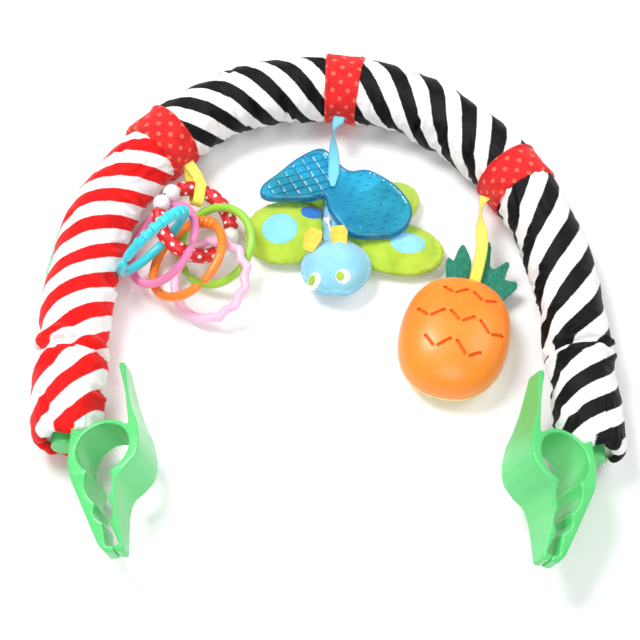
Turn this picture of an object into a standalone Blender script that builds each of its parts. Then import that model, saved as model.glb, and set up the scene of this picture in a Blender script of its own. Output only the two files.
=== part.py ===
"""Stroller play arch: a padded, bendable arch with a clamp clip on each end and three hanging toys.

Metres, +Z up. The arch lies flat on the floor. X runs from its left leg to its right leg, Y runs up to
its crown, and the origin is under the middle of the whole object.
"""
import math

import bmesh
import bpy
from mathutils import Matrix, Vector

# Fits
GAP = 0.0003                 # between pieces that touch
EASE = 0.0006                # round a rod or foam that its sleeve holds loosely
CUT_OVERRUN = 0.002          # how far a cutter runs past what it cuts
FELT = 0.0016                # thickness of cut felt
RIBBON_WALL = 0.0008

# Arch: a bendable rod in a foam tube, in fabric covers
ARCH_RADIUS = 0.176          # centreline, from the middle between the legs
ARCH_SHIFT = (-0.0015, 0.0080)   # from the origin to that middle, so that the object is centred
LEFT_LEG = 0.112             # straight part of each leg
RIGHT_LEG = 0.122
ROD_RADIUS = 0.0055
FOAM_WALL = 0.0142
ZEBRA_WALL = 0.0030
RED_WALL = 0.0050
SEAM_SPLIT = 0.0076          # between two covers, under their band, so that a leg can flex
HEM_OVERHANG = 0.0026        # a cover runs past the foam's end
BAND_WIDTH = 0.0264
BAND_WALL = 0.0010
# Centreline: places round the curve in shares of ARCH_RADIUS, and along the legs in shares of their
# length and of ARCH_RADIUS
CURVE_SHARES = ((-0.977, 0.0), (-0.896, 0.371), (-0.689, 0.689), (-0.383, 0.924), (0.0, 0.996),
                (0.377, 0.907), (0.673, 0.673), (0.871, 0.361), (0.972, 0.0))
LEFT_LEG_SHARES = ((-0.994, -1.0), (-0.996, -0.72), (-0.991, -0.40))
RIGHT_LEG_SHARES = ((0.996, -0.38), (1.015, -0.70), (1.020, -1.0))
# Bands: angle from the crown, clockwise
LEFT_BAND_TURN = math.radians(-44.0)
MIDDLE_BAND_TURN = math.radians(3.8)
RIGHT_BAND_TURN = math.radians(56.0)
# Dents in the padding: along each cover from its left end, depth, half length, all in shares
RED_DENT_SHARES = ((0.0, 0.10, 0.06), (0.28, 0.085, 0.05), (0.52, 0.05, 0.05), (0.80, 0.04, 0.05),
                   (1.0, 0.125, 0.28))
CROWN_DENT_SHARES = ((0.16, 0.05, 0.03), (0.45, 0.035, 0.03), (0.80, 0.05, 0.03))
ZEBRA_DENT_SHARES = ((0.16, 0.05, 0.05), (0.50, 0.09, 0.05), (0.74, 0.04, 0.05))
# Bare cloth tab on the outer side of the left leg
TAB_LENGTH = 0.062
TAB_WIDTH = 0.0036
TAB_WALL = 0.0010
TAB_PLACE = 0.0440           # its middle, above the start of the left leg

# Clamp clip: its own frame has X inwards, Y up the leg and Z through its depth, from the leg's axis
CLIP_REACH = 0.035           # leg axis to the middle of the clip's bore
CLIP_BORE = 0.0186           # radius of the bore that goes round a stroller's bar
CLIP_CROWN_WALL = 0.0034     # the thin bow that springs
CLIP_SIDE_WALL = 0.0056
CLIP_DEPTH = 0.0420          # below the bore, the widest place
CLIP_TIP_DEPTH = 0.0110
LEVER_TIP_DEPTH = 0.0130
LEVER_LENGTH = 0.0700        # bore's middle to the lever's end
JAW_LENGTH = 0.0700          # bore's middle to the jaws' tips
CLIP_DROP = 0.0245           # foam's end to the bore's middle
HUB_RADIUS = 0.0095
HUB_HEIGHT = 0.0110
POST_LENGTH = 0.0220
LEFT_ROLL = math.radians(16.0)
RIGHT_ROLL = math.radians(28.0)
# Inner edge of each jaw below the bore: cusp, scallop, cusp, scallop, cusp, then the notch above the
# closed tips. X in shares of CLIP_BORE, Y in shares of JAW_LENGTH
CUSP_SHARES_FIXED = ((-0.506, -0.228), (-0.260, -0.543), (-0.020, -0.720))
CUSP_SHARES_LEVER = ((0.343, -0.256), (0.226, -0.522), (0.244, -0.727))
NOTCH_SHARES_FIXED = (0.060, -0.938)
NOTCH_SHARES_LEVER = (0.560, -0.938)
NIB_SHARES = (0.270, -0.938)
TIP_SHARES = (0.390, -0.996)
SCALLOP_DEPTH_SHARES = (0.24, 0.20)
LEVER_SCALLOP_DEPTH_SHARES = (0.12, 0.15)
OUTER_SHARES_FIXED = ((0.030, -1.0), (-0.230, -0.920), (-0.520, -0.730), (-0.870, -0.486),
                      (-1.110, -0.320), (-1.250, -0.190))
OUTER_SHARES_LEVER = ((0.720, -0.995), (0.680, -0.920), (0.580, -0.730), (0.490, -0.520),
                      (0.530, -0.380), (0.620, -0.320), (0.900, -0.255), (1.250, -0.150), (1.370, -0.050))
# Lever above the bore: X in shares of CLIP_BORE, Y in shares of LEVER_LENGTH
LEVER_SHARES_OUTER = ((1.360, 0.060), (1.220, 0.250), (0.950, 0.420), (0.750, 0.583), (0.580, 0.780),
                      (0.424, 0.985), (0.344, 1.0))
LEVER_SHARES_INNER = ((0.237, 1.0), (0.187, 0.975), (0.453, 0.750), (0.634, 0.583), (0.900, 0.240))

# Rings toy
RING_RADIUS = 0.0275         # of the big ring's centreline
RING_CORE = 0.0020
SLEEVE_RADIUS = 0.0053
BEAD_RADIUS = 0.0063
RING_HANG = (0.00655, -0.04993, -0.00022)   # from the band to the ring's middle
RING_TILTS = (1.0, 23.0)     # degrees about X, then about Y
BEAD_TURNS = (133.0, 160.0, -11.0, -38.0)
SLEEVE_TURNS = ((4.0, 118.0), (175.0, 307.0))
LINK_SLIT = 0.0012
LINK_TUBE = 0.0030           # the slimmer links' tube, on which the bumps are counted
THICK_LINK_TUBE = 0.0033
GREEN_LINK_RADIUS = 0.0290
ORANGE_LINK_RADIUS = 0.0310
PINK_LINK_RADIUS = 0.0310
CYAN_LINK_RADIUS = 0.0300
ROSE_LINK_RADIUS = 0.0285
# Each link: place from the big ring in shares of RING_RADIUS, tilts in degrees, turn of its slit
GREEN_LINK_SHARES = ((0.528, -0.547, -0.286), (10.7, -26.6), 215.0)
ORANGE_LINK_SHARES = ((-0.168, -1.109, -0.045), (-6.0, -35.9), -45.0)
PINK_LINK_SHARES = ((-0.822, -0.645, -0.070), (-1.8, -39.6), 0.0)
CYAN_LINK_SHARES = ((-1.028, -1.040, 0.686), (42.5, 110.0), 200.0)
ROSE_LINK_SHARES = ((0.417, -1.598, -0.242), (12.7, -26.2), 120.0)
BUMP_HEIGHT = 0.0004         # small, so that the links can spin against each other
RING_RIBBON_TURN = 88.0      # where the ribbon goes round the ring, in degrees

# Butterfly toy: places in shares of WING_SPAN from its middle
WING_SPAN = 0.110
BUTTERFLY_HANG = (-0.00295, -0.08875)      # from the band's inner face to the toy's middle
TEETHER_WALL = 0.0070
TEETHER_EDGE = 0.0022
TEETHER_FLOOR = 0.0184       # underside, over the stuffed wings
TEETHER_SHARES = ((-0.495, 0.205), (-0.480, 0.282), (-0.380, 0.375), (-0.245, 0.500), (-0.100, 0.572),
                  (-0.010, 0.505), (0.055, 0.420), (0.110, 0.392), (0.222, 0.398), (0.386, 0.290),
                  (0.485, 0.150), (0.500, 0.045), (0.460, -0.050), (0.375, -0.112), (0.230, -0.128),
                  (0.105, -0.110), (0.020, -0.025), (-0.045, 0.085), (-0.075, 0.190), (-0.160, 0.170),
                  (-0.300, 0.165), (-0.430, 0.170))
WING_LOFT = 0.0085           # half thickness of a stuffed wing
HEAD_LOFT = 0.0165
REST = 0.0005                # lowest soft surfaces above the floor
# Each wing lobe: centre and half sizes in shares of WING_SPAN, turn in degrees
LEFT_LOWER_WING = ((-0.322, -0.005), (0.292, 0.252), 12.0)
LEFT_UPPER_WING = ((-0.250, 0.300), (0.190, 0.130), -30.0)
RIGHT_LOWER_WING = ((0.392, -0.130), (0.325, 0.200), -12.0)
RIGHT_UPPER_WING = ((0.340, 0.190), (0.235, 0.170), 35.0)
BODY_SHARES = ((-0.005, 0.040), (0.085, 0.290))
HEAD_SHARES = ((0.0, -0.321), (0.227, 0.213))
TIE_SHARES = ((-0.055, 0.040), (-0.043, -0.010), (-0.030, -0.060))   # places of the white tie cord
PATCH_LIFT = 0.0008          # a sewn patch stands this proud
EAR_LENGTH = 0.0200
EAR_WIDTH = 0.0096
EAR_THICKNESS = 0.0048

# Pineapple toy, in its own frame: Y up its axis, Z towards its front
PINE_HANG = (-0.02552, -0.11239)          # from the band's inner face to the toy's middle
PINE_LEAN = math.radians(-14.0)
PINE_HALF_WIDTH = 0.0385
PINE_HALF_LENGTH = 0.0466
PINE_SQUARE_SHARE = 0.045    # how far its oval stands out at the quarters
SHELL_WALL = 0.0020
PINE_RIM = 0.0150            # front shell's lower edge above the floor
PINE_TOP = 0.0430
SKIRT = 0.0060               # the front shell slides over the back shell's lip by this
PRESS_TRAVEL = 0.0015
RUNNING = 0.0005             # clearance between the sliding shells
FLANGE_GAP = PRESS_TRAVEL + GAP   # from the flange of the back shell to the front shell at rest
FOOT_SHARE = 0.70            # flat back of the pineapple, of its half sizes
SLOT_WIDTH = 0.0015
# Zigzag slots: the two ends of each in shares of the half width and half length
SLOT_SHARES = (
    ((-0.38, 0.60), (-0.20, 0.51)), ((-0.14, 0.50), (0.07, 0.63)), ((0.17, 0.60), (0.36, 0.47)),
    ((0.42, 0.47), (0.61, 0.56)), ((-0.74, 0.15), (-0.53, 0.03)), ((-0.47, 0.03), (-0.24, 0.17)),
    ((-0.15, 0.17), (0.05, 0.03)), ((0.11, 0.02), (0.31, 0.15)), ((0.41, 0.12), (0.62, -0.05)),
    ((0.66, -0.05), (0.86, 0.03)), ((-0.49, -0.30), (-0.29, -0.46)), ((-0.23, -0.45), (-0.01, -0.29)),
    ((0.09, -0.30), (0.30, -0.49)), ((0.36, -0.50), (0.56, -0.38)))
CASE_RADIUS = 0.0190
CASE_HEIGHT = 0.0150
BOARD_RADIUS = 0.0165
SPEAKER_RADIUS = 0.0130
SPEAKER_HEIGHT = 0.0040
CELL_RADIUS = 0.0058
CELL_HEIGHT = 0.0054
SCREW_RADIUS = 0.0026
DOME_RADIUS = 0.0040
DOME_HEIGHT = 0.0040
# Leaves: outline of each group in shares of the half width, from the top of the pineapple
LEFT_LEAF_SHARES = ((-0.06, -0.08), (-0.24, -0.10), (-0.38, -0.11), (-0.45, 0.16), (-0.50, 0.40),
                    (-0.47, 0.51), (-0.37, 0.46), (-0.34, 0.66), (-0.27, 0.81), (-0.16, 0.70),
                    (-0.05, 0.52), (-0.02, 0.30))
RIGHT_LEAF_SHARES = ((0.22, -0.10), (0.18, 0.50), (0.11, 0.88), (0.18, 0.98), (0.26, 0.86), (0.31, 0.52),
                     (0.42, 0.48), (0.58, 0.66), (0.66, 0.60), (0.63, 0.31), (0.84, 0.31), (0.88, 0.18),
                     (0.74, -0.04), (0.58, -0.24))
LEAF_TILT = math.radians(7.0)
RIBBON_WIDTH = 0.0085

part = bpy.data.collections.new("stroller_play_arch")
cutters = bpy.data.collections.new("cutters")
materials = {}


# Scene and small helpers
def clear_scene():
    for old in list(bpy.data.objects):
        bpy.data.objects.remove(old)
    bpy.context.scene.collection.children.link(part)
    bpy.context.scene.collection.children.link(cutters)


def material(name, colour, roughness=0.8, metallic=0.0, alpha=1.0):
    """The Principled material of that name, made once."""
    if name in materials:
        return materials[name]
    made = bpy.data.materials.new(name)
    made.use_nodes = True
    shader = made.node_tree.nodes["Principled BSDF"]
    shader.inputs["Base Color"].default_value = (*colour, 1.0)
    shader.inputs["Roughness"].default_value = roughness
    shader.inputs["Metallic"].default_value = metallic
    shader.inputs["Alpha"].default_value = alpha
    materials[name] = made
    return made


def add(name, data, mat, matrix=Matrix.Identity(4)):
    """A named object of the part with its own material."""
    made = bpy.data.objects.new(name, data)
    made.matrix_world = matrix
    if mat is not None:
        data.materials.append(material(*mat))
    part.objects.link(made)
    return made


def as_cutter(obj):
    """Moves an object among the cutters, out of the part."""
    part.objects.unlink(obj)
    cutters.objects.link(obj)
    obj.hide_render = True
    obj.display_type = "WIRE"
    return obj


def mesh_from(made, name):
    """A mesh of a bmesh, which is freed."""
    mesh = bpy.data.meshes.new(name)
    bmesh.ops.recalc_face_normals(made, faces=made.faces)
    made.to_mesh(mesh)
    made.free()
    mesh.shade_smooth()
    mesh.set_sharp_from_angle(angle=math.radians(40.0))
    return mesh


def meshed(obj):
    """The same object as a plain mesh with its modifiers applied and its seams welded."""
    bpy.context.view_layer.update()
    graph = bpy.context.evaluated_depsgraph_get()
    mesh = bpy.data.meshes.new_from_object(obj.evaluated_get(graph))
    welded = bmesh.new()
    welded.from_mesh(mesh)
    bmesh.ops.remove_doubles(welded, verts=welded.verts, dist=GAP / 30)
    welded.to_mesh(mesh)
    welded.free()
    name, home, matrix = obj.name, obj.users_collection[0], obj.matrix_world.copy()
    bpy.data.objects.remove(obj)
    made = bpy.data.objects.new(name, mesh)
    made.matrix_world = matrix
    home.objects.link(made)
    return made


def boolean(obj, cutter, operation="DIFFERENCE"):
    step = obj.modifiers.new(operation.title(), "BOOLEAN")
    step.operation = operation
    step.object = cutter
    return obj


def pivot(name, place, parent=None):
    """An empty on a joint's axis, which carries the pieces that move about it."""
    made = bpy.data.objects.new(name, None)
    made.matrix_world = Matrix.Translation(place)
    made.empty_display_size = ROD_RADIUS
    part.objects.link(made)
    if parent is not None:
        hang(made, parent)
    return made


def hang(obj, parent):
    """Parents an object without moving it."""
    bpy.context.view_layer.update()
    obj.parent = parent
    obj.matrix_parent_inverse = parent.matrix_world.inverted()
    return obj


def wire(name, points, radius, mat, radii=None, closed=False, caps=True, rounds=2):
    """A tube along points, as a bevelled poly curve."""
    data = bpy.data.curves.new(name, "CURVE")
    data.dimensions = "3D"
    data.bevel_depth = radius
    data.bevel_resolution = rounds
    data.use_fill_caps = caps
    line = data.splines.new("POLY")
    line.points.add(len(points) - 1)
    for at, point in enumerate(points):
        line.points[at].co = (*point, 1.0)
        line.points[at].radius = radii[at] if radii else 1.0
    line.use_cyclic_u = closed
    line.use_smooth = True
    return add(name, data, mat)


def flat_outline(name, points, depth, mat, bevel=0.0, middle=0.0):
    """A flat plate from a closed outline, half of its depth to each side of a middle height."""
    data = bpy.data.curves.new(name, "CURVE")
    data.dimensions = "2D"
    data.fill_mode = "BOTH"
    data.extrude = depth / 2 - bevel
    data.bevel_depth = bevel
    data.bevel_resolution = 1 if bevel else 0
    data.offset = -bevel
    line = data.splines.new("POLY")
    line.points.add(len(points) - 1)
    for at, point in enumerate(points):
        line.points[at].co = (point[0], point[1], 0.0, 1.0)
    line.use_cyclic_u = True
    return add(name, data, mat, Matrix.Translation((0.0, 0.0, middle)))


def ellipsoid(name, centre, halves, turn, mat, grow=0.0, around=16, up=10):
    """A sphere scaled to three half sizes and turned about Z."""
    made = bmesh.new()
    bmesh.ops.create_uvsphere(made, u_segments=around, v_segments=up, radius=1.0)
    size = Matrix.Diagonal((halves[0] + grow, halves[1] + grow, halves[2] + grow, 1.0))
    place = Matrix.Translation(centre) @ Matrix.Rotation(math.radians(turn), 4, "Z")
    bmesh.ops.transform(made, matrix=place @ size, verts=made.verts)
    return add(name, mesh_from(made, name), mat)


def cylinder(name, radius, low, high, mat, matrix=Matrix.Identity(4), sides=24):
    """A round bar between two heights on Z of a given frame."""
    made = bmesh.new()
    middle = Matrix.Translation((0.0, 0.0, (low + high) / 2))
    bmesh.ops.create_cone(made, cap_ends=True, segments=sides, radius1=radius, radius2=radius,
                          depth=high - low, matrix=middle)
    return add(name, mesh_from(made, name), mat, matrix)


def turned(name, profile, mat, matrix=Matrix.Identity(4), steps=24, stretch=1.0, square_share=0.0):
    """A closed profile of (radius, height) turned about Z, and stretched in Y if it is oval."""
    data = bpy.data.meshes.new(name)
    edges = [(at, at + 1) for at in range(len(profile) - 1)]
    if profile[0][0] > 0.0:
        edges.append((len(profile) - 1, 0))
    data.from_pydata([(radius, 0.0, height) for radius, height in profile], edges, [])
    obj = add(name, data, mat)
    screw = obj.modifiers.new("Turn", "SCREW")
    screw.steps = steps
    screw.render_steps = steps
    screw.use_merge_vertices = True
    screw.merge_threshold = GAP / 10
    made = meshed(obj)
    for vert in made.data.vertices:
        swell = 1.0 + square_share * (1.0 - math.cos(4 * math.atan2(vert.co.y, vert.co.x))) / 2
        vert.co = (vert.co.x * swell, vert.co.y * swell * stretch, vert.co.z)
    outward = bmesh.new()
    outward.from_mesh(made.data)
    bmesh.ops.recalc_face_normals(outward, faces=outward.faces)
    outward.to_mesh(made.data)
    outward.free()
    made.matrix_world = matrix
    return made


def smooth_through(points, steps, closed=False):
    """Points on a smooth curve through the given ones, so many to each stretch."""
    count = len(points)
    found = []
    for at in range(count if closed else count - 1):
        if closed:
            four = [points[(at + n) % count] for n in (-1, 0, 1, 2)]
        else:
            four = [points[min(max(at + n, 0), count - 1)] for n in (-1, 0, 1, 2)]
        a, b, c, d = (Vector(point) for point in four)
        for step in range(steps):
            t = step / steps
            found.append(0.5 * (2 * b + (c - a) * t + (2 * a - 5 * b + 4 * c - d) * t ** 2
                                + (3 * b - a - 3 * c + d) * t ** 3))
    if not closed:
        found.append(Vector(points[-1]))
    return found


def strip(name, middle, across, width, wall, mat, parent=None):
    """A ribbon along points, with the direction of its width at each one."""
    made = bmesh.new()
    rows = []
    for point, side in zip(middle, across):
        half = Vector(side).normalized() * width / 2
        rows.append((made.verts.new(Vector(point) - half), made.verts.new(Vector(point) + half)))
    for low, high in zip(rows, rows[1:]):
        made.faces.new((low[0], low[1], high[1], high[0]))
    mesh = bpy.data.meshes.new(name)
    made.to_mesh(mesh)
    made.free()
    obj = add(name, mesh, mat)
    shell = obj.modifiers.new("Cloth", "SOLIDIFY")
    shell.thickness = wall
    shell.offset = 0.0
    if parent is not None:
        hang(obj, parent)
    return obj


def disc_frame(place, tilts):
    """The frame of a round link: its Z is its axis, tilted about X and then about Y."""
    tilt_x = Matrix.Rotation(math.radians(tilts[0]), 4, "X")
    tilt_y = Matrix.Rotation(math.radians(tilts[1]), 4, "Y")
    return Matrix.Translation(place) @ tilt_y @ tilt_x


# Arch centreline
def centreline():
    """Points a few millimetres apart along the whole arch, from the left foam end to the right one."""
    guide = [(share[0] * ARCH_RADIUS, share[1] * LEFT_LEG, 0.0) for share in LEFT_LEG_SHARES]
    guide += [(share[0] * ARCH_RADIUS, share[1] * ARCH_RADIUS, 0.0) for share in CURVE_SHARES]
    guide += [(share[0] * ARCH_RADIUS, share[1] * RIGHT_LEG, 0.0) for share in RIGHT_LEG_SHARES]
    shift = Vector((*ARCH_SHIFT, TUBE_HEIGHT))
    return [point + shift for point in smooth_through(guide, 24)]


TUBE_ROUNDS = 4              # bevel resolution of the foam, covers and bands, so that their faces line up
FLATS = 1 / math.cos(math.pi / 12)   # corner radius over face distance of such a twelve-sided tube
FOAM_BORE = (ROD_RADIUS + EASE) * FLATS
FOAM_RADIUS = FOAM_BORE + FOAM_WALL
COVER_BORE = FOAM_RADIUS + EASE
ZEBRA_RADIUS = COVER_BORE + ZEBRA_WALL
RED_RADIUS = COVER_BORE + RED_WALL
BAND_RADIUS = ZEBRA_RADIUS + GAP + BAND_WALL
TUBE_HEIGHT = RED_RADIUS
LINE = centreline()
LENGTHS = [0.0]
for first, second in zip(LINE, LINE[1:]):
    LENGTHS.append(LENGTHS[-1] + (second - first).length)
WHOLE = LENGTHS[-1]


def arch_at(length):
    """Place and direction on the centreline at a length from the left foam end."""
    if length <= 0.0:
        way = (LINE[1] - LINE[0]).normalized()
        return LINE[0] + way * length, way
    if length >= WHOLE:
        way = (LINE[-1] - LINE[-2]).normalized()
        return LINE[-1] + way * (length - WHOLE), way
    at = next(n for n in range(1, len(LENGTHS)) if LENGTHS[n] >= length)
    share = (length - LENGTHS[at - 1]) / (LENGTHS[at] - LENGTHS[at - 1])
    before = LINE[max(at - 2, 0)]
    after = LINE[min(at + 1, len(LINE) - 1)]
    return LINE[at - 1].lerp(LINE[at], share), (after - before).normalized()


def length_at(turn):
    """How far along the arch a given angle from the crown lies."""
    middle = Vector((*ARCH_SHIFT, TUBE_HEIGHT))
    for at, point in enumerate(LINE):
        arm = point - middle
        if arm.y > 0.0 and math.atan2(arm.x, arm.y) >= turn:
            return LENGTHS[at]
    return WHOLE


LEFT_SEAM = length_at(LEFT_BAND_TURN)
MIDDLE_SEAM = length_at(MIDDLE_BAND_TURN)
RIGHT_SEAM = length_at(RIGHT_BAND_TURN)


def stations(start, end, count):
    return [start + (end - start) * step / (count - 1) for step in range(count)]


def dented(lengths, dents):
    """Radius factors along a cover, with a soft dent at each named share."""
    start, span = lengths[0], lengths[-1] - lengths[0]
    factors = []
    for length in lengths:
        factor = 1.0
        for place, depth, half in dents:
            away = ((length - start) / span - place) / half
            factor -= depth * math.exp(-away * away)
        factors.append(factor)
    return factors


def sleeve(name, start, end, outer, bore, mat, rings, dents=()):
    """A tube of cloth or foam along part of the arch, with an even bore right through it."""
    lengths = stations(start, end, rings)
    factors = dented(lengths, dents)
    points = [arch_at(length)[0] for length in lengths]
    obj = meshed(wire(name, points, outer, mat, factors, rounds=TUBE_ROUNDS))
    run = [arch_at(start - CUT_OVERRUN)[0], *points, arch_at(end + CUT_OVERRUN)[0]]
    cutter = meshed(wire(name + "_bore", run, bore, None, rounds=TUBE_ROUNDS))
    return boolean(obj, as_cutter(cutter))


RED_CLOTH = ("red_striped_plush", (0.80, 0.05, 0.04), 0.9)
ZEBRA_CLOTH = ("zebra_striped_plush", (0.04, 0.04, 0.05), 0.9)
BAND_CLOTH = ("red_dotted_cotton", (0.72, 0.03, 0.02), 0.85)
YELLOW_RIBBON = ("yellow_satin_ribbon", (0.95, 0.80, 0.10), 0.5)
BLUE_RIBBON = ("blue_satin_ribbon", (0.25, 0.62, 0.90), 0.5)
MINT = ("mint_green_plastic", (0.16, 0.80, 0.30), 0.4)


def make_arch():
    """Rod, foam, covers, bands and tab. Returns the pivots that the two legs flex about."""
    post_end = POST_LENGTH + GAP
    rod = [arch_at(length)[0] for length in stations(post_end, WHOLE - post_end, 40)]
    wire("bendable_core_rod", rod, ROD_RADIUS, ("grey_sheathed_steel", (0.35, 0.36, 0.38), 0.45))
    foam = ("white_foam", (0.93, 0.92, 0.88), 0.95)
    sleeve("foam_padding", 0.0, WHOLE, FOAM_RADIUS, FOAM_BORE, foam, 33)
    left = pivot("left_leg_pivot", arch_at(LEFT_SEAM)[0])
    right = pivot("right_leg_pivot", arch_at(RIGHT_SEAM)[0])
    half = SEAM_SPLIT / 2
    red = sleeve("red_leg_cover", -HEM_OVERHANG, LEFT_SEAM - half, RED_RADIUS, COVER_BORE,
                 RED_CLOTH, 21, RED_DENT_SHARES)
    sleeve("zebra_crown_cover", LEFT_SEAM + half, RIGHT_SEAM - half, ZEBRA_RADIUS, COVER_BORE,
           ZEBRA_CLOTH, 25, CROWN_DENT_SHARES)
    zebra = sleeve("zebra_leg_cover", RIGHT_SEAM + half, WHOLE + HEM_OVERHANG, ZEBRA_RADIUS,
                   COVER_BORE, ZEBRA_CLOTH, 21, ZEBRA_DENT_SHARES)
    hang(red, left)
    hang(zebra, right)
    make_band("left_band", LEFT_SEAM)
    make_band("middle_band", MIDDLE_SEAM)
    make_band("right_band", RIGHT_SEAM)
    make_tab(left)
    return left, right


def make_band(name, seam):
    """A dotted band sewn round the arch over the seam of two covers."""
    start, end = seam - BAND_WIDTH / 2, seam + BAND_WIDTH / 2
    sleeve(name, start, end, BAND_RADIUS, BAND_RADIUS - BAND_WALL, BAND_CLOTH, 5)


def outward(length):
    """The direction away from the arch's inside at a length along it."""
    way = arch_at(length)[1]
    return Vector((-way.y, way.x, 0.0))


def make_tab(leg):
    """A bare cloth tab that stands out of the left leg's seam, where a label would be."""
    middle = LEFT_LEG + TAB_PLACE
    lengths = stations(middle - TAB_LENGTH / 2, middle + TAB_LENGTH / 2, 7)
    reach = RED_RADIUS / FLATS + GAP + TAB_WIDTH / 2
    droop = math.pi / 12
    down = Vector((0.0, 0.0, -math.sin(droop)))
    sides = [outward(length) * math.cos(droop) + down for length in lengths]
    points = [arch_at(length)[0] + side * reach for length, side in zip(lengths, sides)]
    strip("plain_green_tab", points, sides, TAB_WIDTH, TAB_WALL,
          ("pale_green_cloth", (0.55, 0.85, 0.62), 0.85), leg)


# Clamp clips
def scaled(shares, x_size, y_size):
    return [(share[0] * x_size, share[1] * y_size) for share in shares]


def arc(radius, start, end, steps):
    """Points on a circle round the bore's middle, in degrees."""
    turns = (math.radians(start + (end - start) * step / steps) for step in range(steps + 1))
    return [(radius * math.cos(turn), radius * math.sin(turn)) for turn in turns]


def scallop(start, end, depth, steps=5):
    """A hollow from one cusp of a jaw to the next: points between the two, to the left of the way."""
    way = Vector(end) - Vector(start)
    side = Vector((-way.y, way.x)).normalized()
    points = []
    for step in range(1, steps):
        share = step / steps
        bow = depth * math.sin(math.pi * share)
        points.append(tuple(Vector(start) + way * share + side * bow))
    return points


def jaw_edge(cusp_shares, depth_shares, side):
    """The scalloped inner edge of a jaw, from the bore down."""
    cusps = scaled(cusp_shares, CLIP_BORE, JAW_LENGTH)
    points = [cusps[0]]
    for start, end, depth in zip(cusps, cusps[1:], depth_shares):
        points += scallop(start, end, side * depth * CLIP_BORE)
        points.append(end)
    return points


def fixed_jaw_outline():
    """Post side: half of the bow, the scalloped edge, the closed tip and the outer edge."""
    start = math.degrees(math.asin(GAP / 2 / CLIP_BORE)) + 90.0
    cusp = scaled(CUSP_SHARES_FIXED, CLIP_BORE, JAW_LENGTH)[0]
    end = math.degrees(math.atan2(cusp[1], cusp[0])) % 360.0
    outline = arc(CLIP_BORE, start, end, 12)[:-1]
    outline += jaw_edge(CUSP_SHARES_FIXED, SCALLOP_DEPTH_SHARES, -1.0)
    rest = (NOTCH_SHARES_FIXED, NIB_SHARES, TIP_SHARES, *OUTER_SHARES_FIXED)
    outline += scaled(rest, CLIP_BORE, JAW_LENGTH)
    shoulder = CLIP_BORE + CLIP_SIDE_WALL
    neck = CLIP_BORE / 3
    hub_low = CLIP_DROP - GAP - HUB_HEIGHT
    outline += [(-shoulder, -neck / 2), (-shoulder, hub_low + neck)]
    bow = CLIP_BORE + CLIP_CROWN_WALL
    outline += arc(bow, 138.0, start, 7)
    return outline


def lever_outline():
    """Lever side: half of the bow, the lever, the outer edge, the closed tip and the scalloped edge."""
    start = 90.0 - math.degrees(math.asin(GAP / 2 / CLIP_BORE))
    bow = CLIP_BORE + CLIP_CROWN_WALL
    outline = arc(bow, start, 48.0, 5)
    outline += scaled(reversed(LEVER_SHARES_INNER), CLIP_BORE, LEVER_LENGTH)
    outline += scaled(reversed(LEVER_SHARES_OUTER), CLIP_BORE, LEVER_LENGTH)
    outline += scaled(reversed(OUTER_SHARES_LEVER), CLIP_BORE, JAW_LENGTH)
    tips = scaled((TIP_SHARES, NIB_SHARES, NOTCH_SHARES_LEVER), CLIP_BORE, JAW_LENGTH)
    outline += [(tips[0][0] + GAP, tips[0][1]), (tips[1][0] + GAP, tips[1][1]), tips[2]]
    outline += reversed(jaw_edge(CUSP_SHARES_LEVER, LEVER_SCALLOP_DEPTH_SHARES, 1.0))
    cusp = scaled(CUSP_SHARES_LEVER, CLIP_BORE, JAW_LENGTH)[0]
    end = math.degrees(math.atan2(cusp[1], cusp[0]))
    outline += arc(CLIP_BORE, end, start, 12)[1:]
    return outline


def kite(name):
    """The side shape of a clip: deepest at the bore, narrow at the lever's end and at the tips."""
    bore, tip, lever = CLIP_DEPTH / 2, CLIP_TIP_DEPTH / 2, LEVER_TIP_DEPTH / 2
    half = [(-JAW_LENGTH - CUT_OVERRUN, tip), (-CLIP_BORE * 0.95, bore), (CLIP_BORE * 0.3, bore * 0.93),
            (CLIP_BORE * 1.1, bore * 0.82), (LEVER_LENGTH + CUT_OVERRUN, lever)]
    outline = half + [(place, -depth) for place, depth in reversed(half)]
    wide = 4 * CLIP_REACH
    obj = flat_outline(name, outline, wide, None)
    turn = Matrix(((0, 0, 1, 0), (1, 0, 0, 0), (0, 1, 0, 0), (0, 0, 0, 1)))
    obj = meshed(obj)
    obj.data.transform(turn)
    return as_cutter(obj)


def clip_piece(name, outline, side_shape):
    """One half of a clip, in the frame of its bore, as a mesh."""
    obj = meshed(flat_outline(name, outline, CLIP_DEPTH + CUT_OVERRUN, MINT))
    boolean(obj, side_shape, "INTERSECT")
    return meshed(obj)


def make_clip_meshes():
    """The two halves of a clip, moved so that the origin is on the leg's axis at the bore's level."""
    side_shape = kite("clip_side_shape")
    fixed = clip_piece("fixed_jaw_shape", fixed_jaw_outline(), side_shape)
    lever = clip_piece("lever_jaw_shape", lever_outline(), side_shape)
    move = Matrix.Translation((CLIP_REACH, 0.0, 0.0))
    fixed.data.transform(move)
    lever.data.transform(move)
    low = CLIP_DROP - GAP - HUB_HEIGHT
    top = CLIP_DROP - GAP
    profile = ((0.0, top + POST_LENGTH), (ROD_RADIUS, top + POST_LENGTH), (ROD_RADIUS, top),
               (HUB_RADIUS, top), (HUB_RADIUS, low), (0.0, low))
    stand = turned("clip_post_shape", profile, None, steps=20)
    stand.data.transform(Matrix.Rotation(math.radians(-90.0), 4, "X"))
    boolean(fixed, as_cutter(stand), "UNION")
    level = Matrix.Translation((0.0, low + HUB_HEIGHT / 2, 0.0)) @ Matrix.Rotation(math.radians(90.0), 4, "Y")
    arm = cylinder("clip_arm_shape", HUB_HEIGHT / 2 - GAP, 0.0, CLIP_REACH - CLIP_BORE, None, level, 16)
    boolean(fixed, as_cutter(arm), "UNION")
    fixed = meshed(fixed)
    return as_cutter(fixed), as_cutter(lever)


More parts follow.
